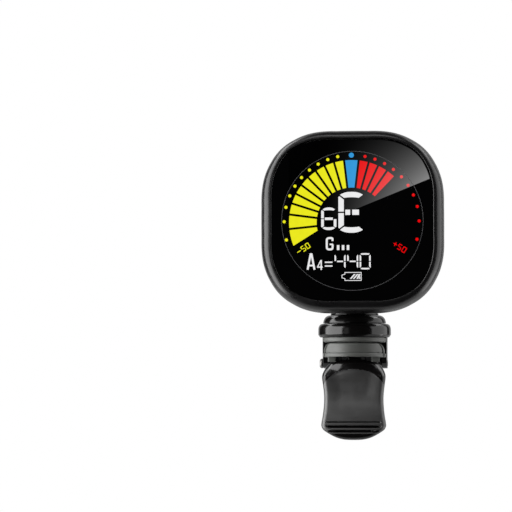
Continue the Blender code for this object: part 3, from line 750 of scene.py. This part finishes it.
def make_display():
    """The black window, its lit dial, its digits and the thin ring printed round them."""
    edge = [(LENS_HALF, LENS_HIGH.y), (LENS_HALF, LENS_FRONT_Y), (LENS_HALF - 0.3, LENS_FRONT_Y)]
    edge = rounded(edge, 0.1, steps=4) + [(LENS_HALF - inset, LENS_FRONT_Y) for inset in (0.5, 1.5, 6.0)]
    lens = to_object("window_lens", skin([squircle(half, y, WINDOW_RISE) for half, y in edge]))
    place(lens, WINDOW, "head", "window_plastic", "display_window", sharp=30)
    spans = list(zip(BAR_EDGES, BAR_EDGES[1:]))
    left = [bar(-end, -start) for start, end in spans[:-1]]
    left.append(bar(-BAR_EDGES[-1], -BAR_EDGES[-2], lean=7.6))
    show("dial_bars_left", left, YELLOW_LIT)
    show("dial_bars_right", [bar(start, end) for start, end in spans[:RED_BARS]], RED_LIT)
    show("dial_bar_centre", [bar(-BAR_EDGES[0], BAR_EDGES[0])], BLUE_LIT)
    show("dial_dots_left", [dot(-angle, 0.8) for angle in DOT_ANGLES], YELLOW_LIT)
    show("dial_dots_right", [dot(angle, 0.8) for angle in DOT_ANGLES], RED_LIT)
    show("dial_dot_centre", [dot(0, 1.3)], BLUE_LIT)
    small = digit("6", -7.99, -2.16, 3.87, 5.74, 0.69, bow=0.5, tip=0.36, gap=0.22)
    white = big_note() + small + letter_g() + pips() + pitch_line() + battery_icon()
    show("dial_digits", white, WHITE_LIT)
    show("dial_minus_fifty", turned_about(scale_end("-"), (-12.3, -6.7), 33), YELLOW_LIT)
    show("dial_plus_fifty", turned_about(scale_end("+"), (12.1, -6.7), -33), RED_LIT)
    circle = arc((RING_X, RING_Z), RING_R, 0, 358, 180)
    ring = [(p.x, RING_Z + RING_FLAT * (p.y - RING_Z)) for p in circle]
    thin = (LENS_FRONT_Y - 0.008, LENS_FRONT_Y + 0.05)
    show("dial_ring", ribbon(ring, 0.14, closed=True), DIM_PRINT, thin)


# ---------------------------------------------------------------- the neck and the tilt hinge


def make_neck():
    """The neck: a tiered foot turned to fit the collar, and an arm that ends in the hinge's knuckle."""
    foot = [(0, 7.7), (5.8, 7.7), (6.2, 7.4), (6.2, 7.08), (6.0, 6.95), (6.0, 4.2), (6.6, 4.2)]
    foot += [(6.6, 2.9), (0, 2.9)]
    base = to_object("neck_foot", lathe(rounded(foot, 0.15)))
    place(base, GLOSS, "neck", "clip_plastic", "neck_post", sharp=30)
    knuckle = arc((TILT.y, TILT.z), 2.4, -8, 200, 41)
    outline = [*knuckle, (-2.55, 9.5), (-2.9, 7.6), (3.4, 7.6), (2.5, 9.8)]
    arm = to_object("neck_arm", slab(outline, "X", -3.3, 3.3))
    combine(arm, "DIFFERENCE", drum(1.0, "X", -5, 5, TILT, 48))
    place(arm, GLOSS, "neck", "clip_plastic", "neck_post", edge=0.25)
    for name, low, high in (("left", -3.8, -3.4), ("right", 3.4, 3.8)):
        ring = rounded([(1.1, high), (2.2, high), (2.2, low), (1.1, low)], 0.06, closed=True)
        washer = to_object(f"hinge_washer_{name}", lathe(ring, "X", TILT, looped=True, steps=64))
        place(washer, NYLON, "neck", "washer_nylon", f"tilt_washer_{name}")
    pin = [(0, 6.1), (0.9, 6.1), (0.9, -6.15), (1.5, -6.15), (1.5, -6.5), (1.15, -6.75), (0, -6.75)]
    bolt = to_object("hinge_pin", lathe(rounded(pin, 0.14), "X", TILT, steps=64))
    place(bolt, DARK_STEEL, "head", "pin_steel", "tilt_pin")


def make_retaining_ring():
    """The bevelled ring that holds the neck down in the collar."""
    bevel = [(6.75, RING_HIGH.z), (7.35, 6.66), (7.78, 6.18), (8.02, 5.6), (8.13, 5.1), (8.14, 4.97)]
    profile = [(6.25, RING_HIGH.z), *smooth_curve(bevel, 5), (7.0, 4.96), (7.0, RING_LOW.z)]
    profile.append((6.25, RING_LOW.z))
    ring = to_object("neck_ring", lathe(rounded(profile, 0.05, closed=True), looped=True))
    place(ring, GLOSS, "clip", "clip_plastic", "swivel_retaining_ring", sharp=30)


# ---------------------------------------------------------------- the clip


def make_collar():
    """The round collar on top of the clip, with the bore that the neck turns in."""
    shoulder = smooth_curve([(8.2, 4.8), (8.7, 4.7), (9.05, 4.42), (9.28, 4.0), (COLLAR_R - 0.01, 3.5)], 5)
    profile = [(0, 2.2), (7.2, 2.2), (7.2, 4.8), *shoulder, (COLLAR_R, 1.95)]
    profile += [(COLLAR_R - 0.45, 1.34), (COLLAR_R - 0.58, 1.3), (0, 1.3)]
    collar = to_object("swivel_collar", lathe(rounded(profile, 0.08)))
    place(collar, GLOSS, "clip", "clip_plastic", "clip_frame", sharp=30)


def make_cheeks():
    """The bracket under the collar: its top plate and the two cheeks that hold the pivot pin."""
    plan = [(-8.4, 3.9), (8.2, 3.9), (8.2, 10.6), (7.2, 11.8), (-7.2, 11.8), (-8.4, 10.6)]
    top = to_object("bracket_top", slab(rounded(plan, 0.8, closed=True), "Z", 1.45, 3.5))
    combine(top, "DIFFERENCE", drum(7.3, "Z", 2.2, 6, steps=96))
    place(top, GLOSS, "clip", "clip_plastic", "clip_frame", edge=0.2)
    outline = [(11.6, 2.6), (3.95, 2.6), (3.95, -3.4), (4.9, -5.4), (6.3, -6.62), (11.6, -6.62)]
    for name, near, far in (("left", -8.55, -6.8), ("right", 6.8, 8.2)):
        cheek = to_object(f"cheek_{name}", slab(rounded(outline, 0.9, steps=8), "X", near, far))
        combine(cheek, "DIFFERENCE", drum(0.9, "X", -10, 10, PIVOT, 48))
        place(cheek, GLOSS, "clip", "clip_plastic", "clip_frame", edge=0.3)


EDGE_ROLL = 1.15
GRIP_THICKNESS = 1.9
GRIP_GROOVES = ((-20.5, 0.15, 0.35), (-21.69, 0.27, 1.0), (-22.85, 0.27, 1.0))


def make_grip(name, edge, base, facing, bow, dish):
    """A moulded squeeze grip: a plate with rolled edges, a shallow dish and grip grooves near its end.

    edge is the right half of its outline as (half-width, z) from the top down, and base is how far its
    face stands out as (z, y). facing is -1 for a face towards -Y. bow gives the face's bend across its
    width at a height, and dish how deep it is hollowed at a point. Each groove is (z, half-width, depth).
    The mesh is a stack of level slices, close together where the grooves and the rolled ends are.
    """
    side = smooth_curve(edge, 60)
    outline = KDTree(2 * len(side))
    for i, point in enumerate(side):
        outline.insert((point.x, point.y, 0), 2 * i)
        outline.insert((-point.x, point.y, 0), 2 * i + 1)
    outline.balance()
    heights = smooth_curve(base, 12)
    widths = [Vector((point.y, point.x)) for point in side]
    top, bottom = side[0].y, side[-1].y

    def between(points, z):
        """Reads (z, value) points at a height, from the top down."""
        for a, b in zip(points, points[1:]):
            if a.x >= z >= b.x:
                return a.y + (b.y - a.y) * (a.x - z) / ((a.x - b.x) or 1)
        return points[0].y if z > points[0].x else points[-1].y

    def roll(depth, radius):
        """How far a rolled edge falls away, this deep inside the outline."""
        if depth >= radius:
            return 0.0
        return radius - math.sqrt(radius**2 - (radius - depth) ** 2)

    def front(x, z, depth):
        """Where the face stands in y."""
        sink = bow(z) * x**2 + roll(depth, EDGE_ROLL) + dish(x, z, depth)
        for groove, wide, deep in GRIP_GROOVES:
            reach = smoothstep(1.0, 1.6, depth)
            sink += deep * reach * math.exp(-(((z - groove) / wide) ** 4))
        return between(heights, z) - facing * sink

    def back(x, z, depth):
        """Where the far side stands in y."""
        return between(heights, z) - facing * (GRIP_THICKNESS + bow(z) * x**2 - roll(depth, 0.5))

    ends = (0.01, 0.04, 0.09, 0.16, 0.24, 0.34, 0.46)
    levels = {top - step for step in ends} | {bottom + step for step in ends}
    levels |= {top - 0.6 - 0.17 * i for i in range(int((top - bottom - 1.2) / 0.17) + 1)}
    for groove, *_ in GRIP_GROOVES:
        levels = {z for z in levels if abs(z - groove) > 0.56}
        levels |= {groove + 0.05 * i for i in range(-11, 12)}
    count = 96
    slices = []
    for z in sorted(levels, reverse=True):
        half = between(widths, z)
        spots = []
        for i in range(count + 1):
            across = 2 * i / count - 1
            x = half * (0.45 * across + 0.55 * math.sin(across * math.pi / 2))
            depth = 0.0 if i in (0, count) else outline.find((x, z, 0))[2]
            spots.append((x, depth))
        face = [(x, front(x, z, depth), z) for x, depth in spots]
        slices.append(face + [(x, back(x, z, depth), z) for x, depth in reversed(spots)])
    return to_object(name, skin(slices))


# The paddle's gloss and painted shade: its gloss black toe lies below a height, and each groove's painted
# shade, the darker gloss black laid in the crease, reaches a little past its width, out to a half-length.
# Faces further back than FACE_Y are on the paddle's far side.
TOE_Z = -23.45
GROOVE_SHADE_REACH = 1.1
GROOVE_HALF = 6.6
FACE_Y = -6


def make_paddle():
    """The thumb paddle: a satin dish between a gloss black shoulder, grip grooves darkened by painted shade
    and a gloss black toe.
    """
    edge = [(0.0, -4.52), (1.6, -4.53), (3.0, -4.57), (4.2, -4.7), (5.65, -5.12), (6.85, -6.0), (7.65, -7.2)]
    edge += [(8.1, -8.4), (8.13, -9.4), (7.92, -11.0), (7.7, -12.8), (7.6, -14.5), (7.68, -16.6)]
    edge += [(7.95, -19.0), (8.23, -20.6), (8.27, -21.5), (7.85, -22.4), (6.95, -23.1), (5.7, -23.85)]
    edge += [(4.2, -24.55), (2.3, -24.97), (0.0, -25.08)]
    base = [(-4.4, -6.1), (-5.1, -6.5), (-6.2, -6.86), (-7.6, -7.05), (-9.0, -7.0), (-11.0, -6.9)]
    base += [(-13.0, -6.94), (-15.0, -7.2), (-17.0, -7.66), (-19.0, -8.02), (-20.3, -8.12), (-21.5, -8.14)]
    base += [(-23.1, -8.12), (-24.3, -8.0), (-25.2, -7.8)]

    def arch(x):
        """The height of the shoulder's lower edge."""
        return -7.05 - 0.03 * x**2 - 0.0006 * x**4

    def bow(z):
        return 0.005 + 0.038 * smoothstep(-9.5, -6.0, z)

    def dish(x, z, depth):
        below = smoothstep(0.0, 0.22, arch(x) - z)
        inside = smoothstep(0.9, 4.6, depth)
        rise = 1 - 0.8 * smoothstep(-19.0, -11.0, z) if z < -11 else 0.2
        deep = 0.24 + 0.16 * smoothstep(-7.0, -10.5, z)
        return deep * below * inside * (1 - smoothstep(0, 1, (rise - 0.2) / 0.8))

    paddle = make_grip("thumb_paddle", edge, base, -1, bow, dish)
    place(paddle, DISH, "thumb_lever", "clip_plastic", "thumb_lever", sharp=50)
    paddle.data.materials.append(GLOSS)
    for face in paddle.data.polygons:
        middle = face.center / MM
        # Groove faces take the darker gloss black as painted shade in the creases; the shoulder and the toe
        # are truly gloss black.
        in_groove_shade = any(abs(middle.z - z) < GROOVE_SHADE_REACH * wide for z, wide, _ in GRIP_GROOVES)
        groove_shade_or_gloss_toe = (in_groove_shade and abs(middle.x) < GROOVE_HALF) or middle.z < TOE_Z
        if middle.z > arch(middle.x) + 0.05 or (middle.y < FACE_Y and groove_shade_or_gloss_toe):
            face.material_index = 1


def make_rear_handle():
    """The fixed handle behind, which the fingers press against."""
    edge = [(0, 3.4), (4.0, 3.4), (7.4, 3.3), (8.15, 2.5), (8.2, 0), (8.0, -2.6), (7.3, -4.6), (6.7, -7.0)]
    edge += [(6.4, -10.0), (6.1, -14.5), (6.25, -17.5), (6.6, -20.0), (6.7, -21.3), (6.2, -22.6)]
    edge += [(4.9, -23.8), (2.6, -24.8), (0, -24.98)]
    base = [(3.6, 11.6), (1.0, 12.2), (-3.0, 12.6), (-8.0, 12.75), (-12.0, 12.9), (-16.0, 13.25)]
    base += [(-20.0, 13.9), (-22.5, 14.15), (-24.8, 14.0)]

    def dish(x, z, depth):
        below = smoothstep(0.0, 0.6, -4.0 - 0.05 * x**2 - z)
        return 0.6 * below * smoothstep(1.0, 3.0, depth) * smoothstep(-20.0, -16.0, z)

    handle = make_grip("rear_grip", edge, base, 1, lambda z: 0.004, dish)
    place(handle, DISH, "clip", "clip_plastic", "clip_frame", sharp=50)


BOOT_SOLE_Z = -3.83
PAD_ROUND = 9.0


def pad_plan(side, front=None, groove=False):
    """A jaw pad's outline from above, drawn in at its sides and front: straight sides and a round front.

    A groove sets the round front off from the sides, so that they stand round it as a rim.
    """
    front = side if front is None else front
    half = PAD_HIGH.x - side
    radius = PAD_ROUND - front
    centre = PAD_LOW.y + PAD_ROUND
    edge = half - 0.42 if groove else half
    reach = math.degrees(math.asin(edge / radius))
    face = arc((0, centre), radius, 270 - reach, 270 + reach, 41)
    corner = face[-1].y
    turn = [Vector((half, corner + 0.3))]
    if groove:
        turn = [Vector((edge + 0.03, corner + 0.45)), Vector((edge + 0.14, corner + 0.45))]
        turn += [Vector((edge + 0.17, corner + 0.16)), Vector((half - 0.1, corner + 0.2))]
        turn += [Vector((half, corner + 0.45))]
    back = PAD_HIGH.y - min(side, 0.4)
    turn += rounded([turn[-1], Vector((half, back)), Vector((0, back))], 0.6)[1:-1]
    return face[1:] + turn + [Vector((-p.x, p.y)) for p in reversed(turn)] + face[:1]


def pad_skin(levels, groove=False):
    """A pad lofted from its outline at each height, from (z, side inset, front inset) levels."""
    return skin([[(x, y, z) for x, y in pad_plan(side, front, groove=groove)] for z, side, front in levels])


def make_pads():
    """The two rubber pads: a plain one above, and the boot over the moving jaw below."""
    top = PAD_HIGH.z
    levels = [(top, 0.5, 0.5), (top, 0.12, 0.12), (top - 0.1, 0.02, 0.02), (0.5, 0, 0), (0.28, 0.05, 0.05)]
    levels += [(0.1, 0.18, 0.16), (0.02, 0.35, 0.3), (0, 0.6, 0.6), (0, 3, 3)]
    place(to_object("grip_pad", pad_skin(levels)), RUBBER, "clip", "jaw_rubber", "upper_jaw_pad", sharp=50)
    top, low = BOOT_TOP_Z, BOOT_SOLE_Z
    levels = [(top, 4.0, 3.0), (top, 2.3, 1.2), (top - 0.02, 2.1, 0.8)]
    for i in range(13):
        fall = i / 12
        side = 1.85 * (1 - math.sqrt(1 - (1 - fall) ** 2)) + 0.26
        levels.append((top - 0.05 - 2.4 * fall, side, 0.2 + 0.5 * max(1 - fall * 5, 0) ** 2))
    levels += [(-2.63, 0.34, 0.36), (-2.77, 0.34, 0.36), (-2.83, 0.2, 0.22)]
    levels += [(-2.92, 0.06, 0.08), (-3.04, 0, 0)]
    levels += [(low + 0.12, 0, 0), (low + 0.03, 0.06, 0.06), (low, 0.2, 0.2), (low, 1.2, 1.2)]
    boot = to_object("jaw_boot", pad_skin(levels, groove=True))
    pocket = pad_plan(1.5)
    back = max(point.y for point in pocket) - 0.01
    pocket = [(x, y + 3 if y > back - 0.6 else y) for x, y in pocket]
    combine(boot, "DIFFERENCE", slab(pocket, "Z", -6, -1.9))
    for side in (-1, 1):
        near, far = sorted((side * 4.55, side * 6.62))
        strap = [(near, -5.3), (near, -5.95), (far, -5.95), (far, -5.3)]
        combine(boot, "UNION", slab(rounded(strap, 0.45, closed=True, steps=6), "Z", -5.1, -2.6))
    place(boot, RUBBER, "thumb_lever", "jaw_rubber", "lower_jaw_pad", sharp=50)


def make_lever_body():
    """The moving jaw under its boot: a plate, four ribs, two webs, the pivot knuckles and a wall.

    The wall stands before the spring, between the knuckles. It is a dark block of painted shade that keeps
    the gap between the straps black.
    """
    body = to_object("lever_body", slab(pad_plan(1.8), "Z", -3.6, -2.05))
    for x in (-3.95, -2.45, 2.45, 3.95):
        wide = 0.7 if abs(x) > 3 else 0.55
        rib = [(x - wide, -5.0), (x + wide, -5.0), (x + wide, -1.0), (x - wide, -1.0)]
        combine(body, "UNION", slab(rib, "Z", -6.8, -3.0))
    web = [(-5.4, -7.0), (-3.9, -3.2), (2.6, -2.3), (6.6, -2.9), (8.4, -3.5), (9.3, -5.34), (8.3, -7.4)]
    web += [(5.5, -7.8), (-1.0, -9.0), (-4.6, -14.5), (-5.6, -15.5)]
    for side in (-1, 1):
        near, far = sorted((side * 4.9, side * 5.9))
        combine(body, "UNION", slab(rounded(web, 0.9, closed=True), "X", near, far))
        near, far = sorted((side * 3.6, side * 6.5))
        combine(body, "UNION", drum(2.3, "X", near, far, PIVOT))
    # The wall is a dark block put before the spring as painted shade, so that the gap between the straps
    # reads black.
    wall = [(3.3, -3.2), (4.2, -3.2), (4.2, -6.7), (3.3, -6.7)]
    combine(body, "UNION", slab(wall, "X", -1.6, 4.0))
    combine(body, "DIFFERENCE", drum(0.9, "X", -9, 9, PIVOT, 48))
    place(body, HIDDEN, "thumb_lever", "clip_plastic", "thumb_lever", edge=0.08)


def make_pivot_pin():
    """The clip's pin, with its head at the left."""
    profile = [(0, 8.38), (0.8, 8.38), (0.8, -8.6), (1.26, -8.6), (1.26, -9.05), (0.95, -9.42), (0, -9.42)]
    pin = to_object("clip_pin", lathe(rounded(profile, 0.18), "X", PIVOT, steps=64))
    place(pin, DARK_STEEL, "clip", "pin_steel", "pivot_pin")


WIRE_R = 0.4


def spring_path():
    """The spring's wire: a leg down behind the paddle, the coil round the pin, a leg down the rear handle."""
    radius, turns, half_coil = 2.0, 4, 2.2
    centre = Vector((PIVOT.y, PIVOT.z))
    ends = Vector((-3.9, -12.2)), Vector((9.7, -13.0))
    angles = []
    for end, side in zip(ends, (1, -1)):
        reach = end - centre
        angles.append(math.atan2(reach.y, reach.x) - side * math.acos(radius / reach.length))
    sweep = (angles[0] - angles[1]) % (2 * math.pi) + 2 * math.pi * turns
    count = 40 * turns
    coil = []
    for i in range(count + 1):
        angle = angles[0] - sweep * i / count
        spot = centre + radius * Vector((math.cos(angle), math.sin(angle)))
        coil.append(Vector((-half_coil + 2 * half_coil * i / count, *spot)))
    first, last = Vector((-half_coil, *ends[0])), Vector((half_coil, *ends[1]))
    legs = [[a.lerp(b, i / 16) for i in range(16)] for a, b in ((first, coil[0]), (last, coil[-1]))]
    return legs[0] + coil + legs[1][::-1]


def make_spring():
    """The torsion spring. Its coil stays on the pin, and its front leg lies behind the paddle."""
    path = spring_path()
    curve = bpy.data.curves.new("coil_spring", "CURVE")
    curve.dimensions = "3D"
    curve.bevel_depth = WIRE_R * MM
    curve.bevel_resolution = 5
    curve.use_fill_caps = True
    spline = curve.splines.new("POLY")
    spline.points.add(len(path) - 1)
    for spot, point in zip(spline.points, path):
        spot.co = (*(point * MM), 1.0)
    wound = add_object("coil_spring_path", curve)
    bpy.context.view_layer.update()
    mesh = bpy.data.meshes.new_from_object(wound.evaluated_get(bpy.context.evaluated_depsgraph_get()))
    bpy.data.objects.remove(wound, do_unlink=True)
    bm = in_millimetres(mesh)
    bmesh.ops.remove_doubles(bm, verts=bm.verts, dist=0.001)
    spring = to_object("coil_spring", bm)
    spring.data.materials.append(SHADED_SPRING)
    spring.data.shade_smooth()
    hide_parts("torsion_spring")
    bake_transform(spring)


# ---------------------------------------------------------------- floor, light and camera

# The camera is aimed by what it sees at the window's distance, in millimetres: how wide the picture is
# there, and how far right of and above its middle the window's own middle lies. Its turns are in degrees.
VIEW_WIDTH = 129.69
WINDOW_RIGHT, WINDOW_ABOVE = 24.228, 9.245
CAMERA_FAR = 600.0
SENSOR_WIDTH = 36.0
LOOK_LEFT = 4.9
LOOK_UP = 3.3


def camera_axes():
    """The camera's forward, right and up directions."""
    turn, rise = math.radians(-LOOK_LEFT), math.radians(LOOK_UP)
    forward = Vector((math.sin(turn) * math.cos(rise), math.cos(turn) * math.cos(rise), math.sin(rise)))
    right = Vector((math.cos(turn), -math.sin(turn), 0))
    return forward, right, right.cross(forward)


def camera_place():
    """Where the camera stands so that the window's middle falls where it should in the picture."""
    forward, right, up = camera_axes()
    middle = Vector((0, LENS_FRONT_Y, WINDOW_Z))
    return middle - forward * CAMERA_FAR - right * WINDOW_RIGHT - up * WINDOW_ABOVE


def make_camera():
    """The camera, at the photograph's viewing angle."""
    forward, right, up = camera_axes()
    data = bpy.data.cameras.new("camera")
    data.sensor_width = SENSOR_WIDTH
    data.lens = SENSOR_WIDTH * CAMERA_FAR / VIEW_WIDTH
    data.clip_start = 0.01
    data.clip_end = 20.0
    camera = add_object("camera", data)
    turn = Matrix((right, up, -forward)).transposed()
    camera.matrix_world = Matrix.Translation(camera_place() * MM) @ turn.to_4x4()
    bpy.context.scene.camera = camera


FLOOR_R = 1200
FLOOR_Z = -120


def make_floor():
    """A wide pale floor, well below the part, which hangs as if clipped on."""
    bm = bmesh.new()
    bmesh.ops.create_circle(bm, cap_ends=True, segments=96, radius=FLOOR_R)
    floor = to_object("floor", bm)
    floor.location.z = FLOOR_Z * MM
    pale = surface(
        "floor_pale", (0.82, 0.82, 0.82), 0.70,
        drift=0.01, patch=0.01, Emission_Color=(1, 1, 1, 1), Emission_Strength=0.45,
    )
    floor.data.materials.append(pale)
    floor.visible_glossy = False
    floor.visible_diffuse = False


def make_world():
    """White behind the part for the camera, and a dim even fill for everything else."""
    world = bpy.data.worlds.new("studio")
    bpy.context.scene.world = world
    world.use_nodes = True
    tree = world.node_tree
    background = tree.nodes["Background"]
    background.inputs["Color"].default_value = (0.012, 0.012, 0.0125, 1)
    white = add_node(tree, "ShaderNodeBackground", Color=(1, 1, 1, 1))
    paths = tree.nodes.new("ShaderNodeLightPath")
    mix = tree.nodes.new("ShaderNodeMixShader")
    tree.links.new(paths.outputs["Is Camera Ray"], mix.inputs[0])
    tree.links.new(background.outputs[0], mix.inputs[1])
    tree.links.new(white.outputs[0], mix.inputs[2])
    tree.links.new(mix.outputs[0], tree.nodes["World Output"].inputs["Surface"])


def softbox(name, centre, towards, width, height, radiance):
    """A rectangular light, in millimetres, set by how bright its face is."""
    data = bpy.data.lights.new(name, "AREA")
    data.shape = "RECTANGLE"
    data.size = width * MM
    data.size_y = height * MM
    data.energy = radiance * math.pi * data.size * data.size_y
    light = add_object(name, data)
    aim = (Vector(towards) - Vector(centre)).to_track_quat("-Z", "Y")
    light.matrix_world = Matrix.Translation(Vector(centre) * MM) @ aim.to_matrix().to_4x4()


def make_lights():
    """Tall panels at both sides and narrow ones overhead, so that the middle of each curve stays dark.

    A high fill in front, a glow from below and a dim backdrop soften what is left.
    """
    softbox("panel_left", (-400, -220, 30), (0, -220, 0), 600, 860, 5.2)
    softbox("panel_left_front", (-400, -900, 60), (0, 0, 10), 240, 620, 0.5)
    softbox("panel_left_over", (-330, 140, 430), (0, 0, 10), 420, 200, 4.0)
    softbox("panel_right", (400, 20, 30), (0, 0, 0), 560, 860, 1.75)
    softbox("panel_right_over", (330, 140, 430), (0, 0, 10), 420, 200, 2.4)
    softbox("fill_front", (-60, -640, 1050), (0, 0, 0), 600, 500, 2.4)
    softbox("underglow", (0, 110, -116), (0, 110, 0), 900, 280, 0.75)
    softbox("backdrop", (0, 600, 150), (0, 0, 20), 900, 900, 0.5)


def calc(tree, operation, value, other):
    """A Math node on one link and one link or number."""
    node = add_node(tree, "ShaderNodeMath", operation=operation)
    tree.links.new(value, node.inputs[0])
    if isinstance(other, float):
        node.inputs[1].default_value = other
    else:
        tree.links.new(other, node.inputs[1])
    return node.outputs[0]


CARD_BEHIND_CAMERA = 60
GLARE_STRENGTH = 13.6


def make_glare():
    """A card that the window mirrors to the camera as a pale wedge over its upper right part."""
    camera = camera_place()
    mirrored = Vector((camera.x, 2 * LENS_FRONT_Y - camera.y, camera.z))
    card_y = camera.y - CARD_BEHIND_CAMERA
    left, right, low, high, step_up = -16.0, 21.0, -4.25, 24.0, 10.75
    bm = bmesh.new()
    layer = bm.loops.layers.uv.new("window")
    wedge = [(left, low), (right, step_up), (right, high), (left, high)]
    verts = []
    for x, z in wedge:
        spot = Vector((x, LENS_FRONT_Y, WINDOW_Z + z))
        ray = spot - mirrored
        verts.append(bm.verts.new(spot + ray * ((card_y - LENS_FRONT_Y) / ray.y)))
    face = bm.faces.new(verts)
    for loop, (x, z) in zip(face.loops, wedge):
        loop[layer].uv = ((x - left) / (right - left), (z - low) / (right - left))
    card = to_object("glare_card", bm)
    card.data.materials.append(glare_light())
    card.visible_camera = False
    card.visible_diffuse = False
    card.visible_shadow = False


def glare_light():
    """The card's light, from its UV map: it grows towards the right and fades towards the top."""
    material, tree, shader = new_material("glare_card")
    tree.nodes.remove(shader)
    split = tree.nodes.new("ShaderNodeSeparateXYZ")
    tree.links.new(tree.nodes.new("ShaderNodeUVMap").outputs[0], split.inputs[0])
    rise = calc(tree, "POWER", span(tree, split.outputs[0], 0.15, 1.0, 0.0, 1.0), 3.0)
    fall = calc(tree, "POWER", span(tree, split.outputs[1], 0.2, 0.75, 1.0, 0.15), 2.0)
    gain = calc(tree, "MULTIPLY", calc(tree, "MULTIPLY", rise, fall), GLARE_STRENGTH)
    glow = tree.nodes.new("ShaderNodeEmission")
    tree.links.new(gain, glow.inputs["Strength"])
    tree.links.new(glow.outputs[0], tree.nodes["Material Output"].inputs["Surface"])
    return material


make_bezel()
make_back()
make_ears()
make_door()
make_buttons()
make_case_screws()
make_display()
make_neck()
make_retaining_ring()
make_collar()
make_cheeks()
make_paddle()
make_rear_handle()
make_pads()
make_lever_body()
make_pivot_pin()
make_spring()
make_camera()
make_floor()
make_world()
make_lights()
make_glare()
bpy.context.scene.view_settings.view_transform = "Standard"
bpy.context.scene.view_settings.look = "None"
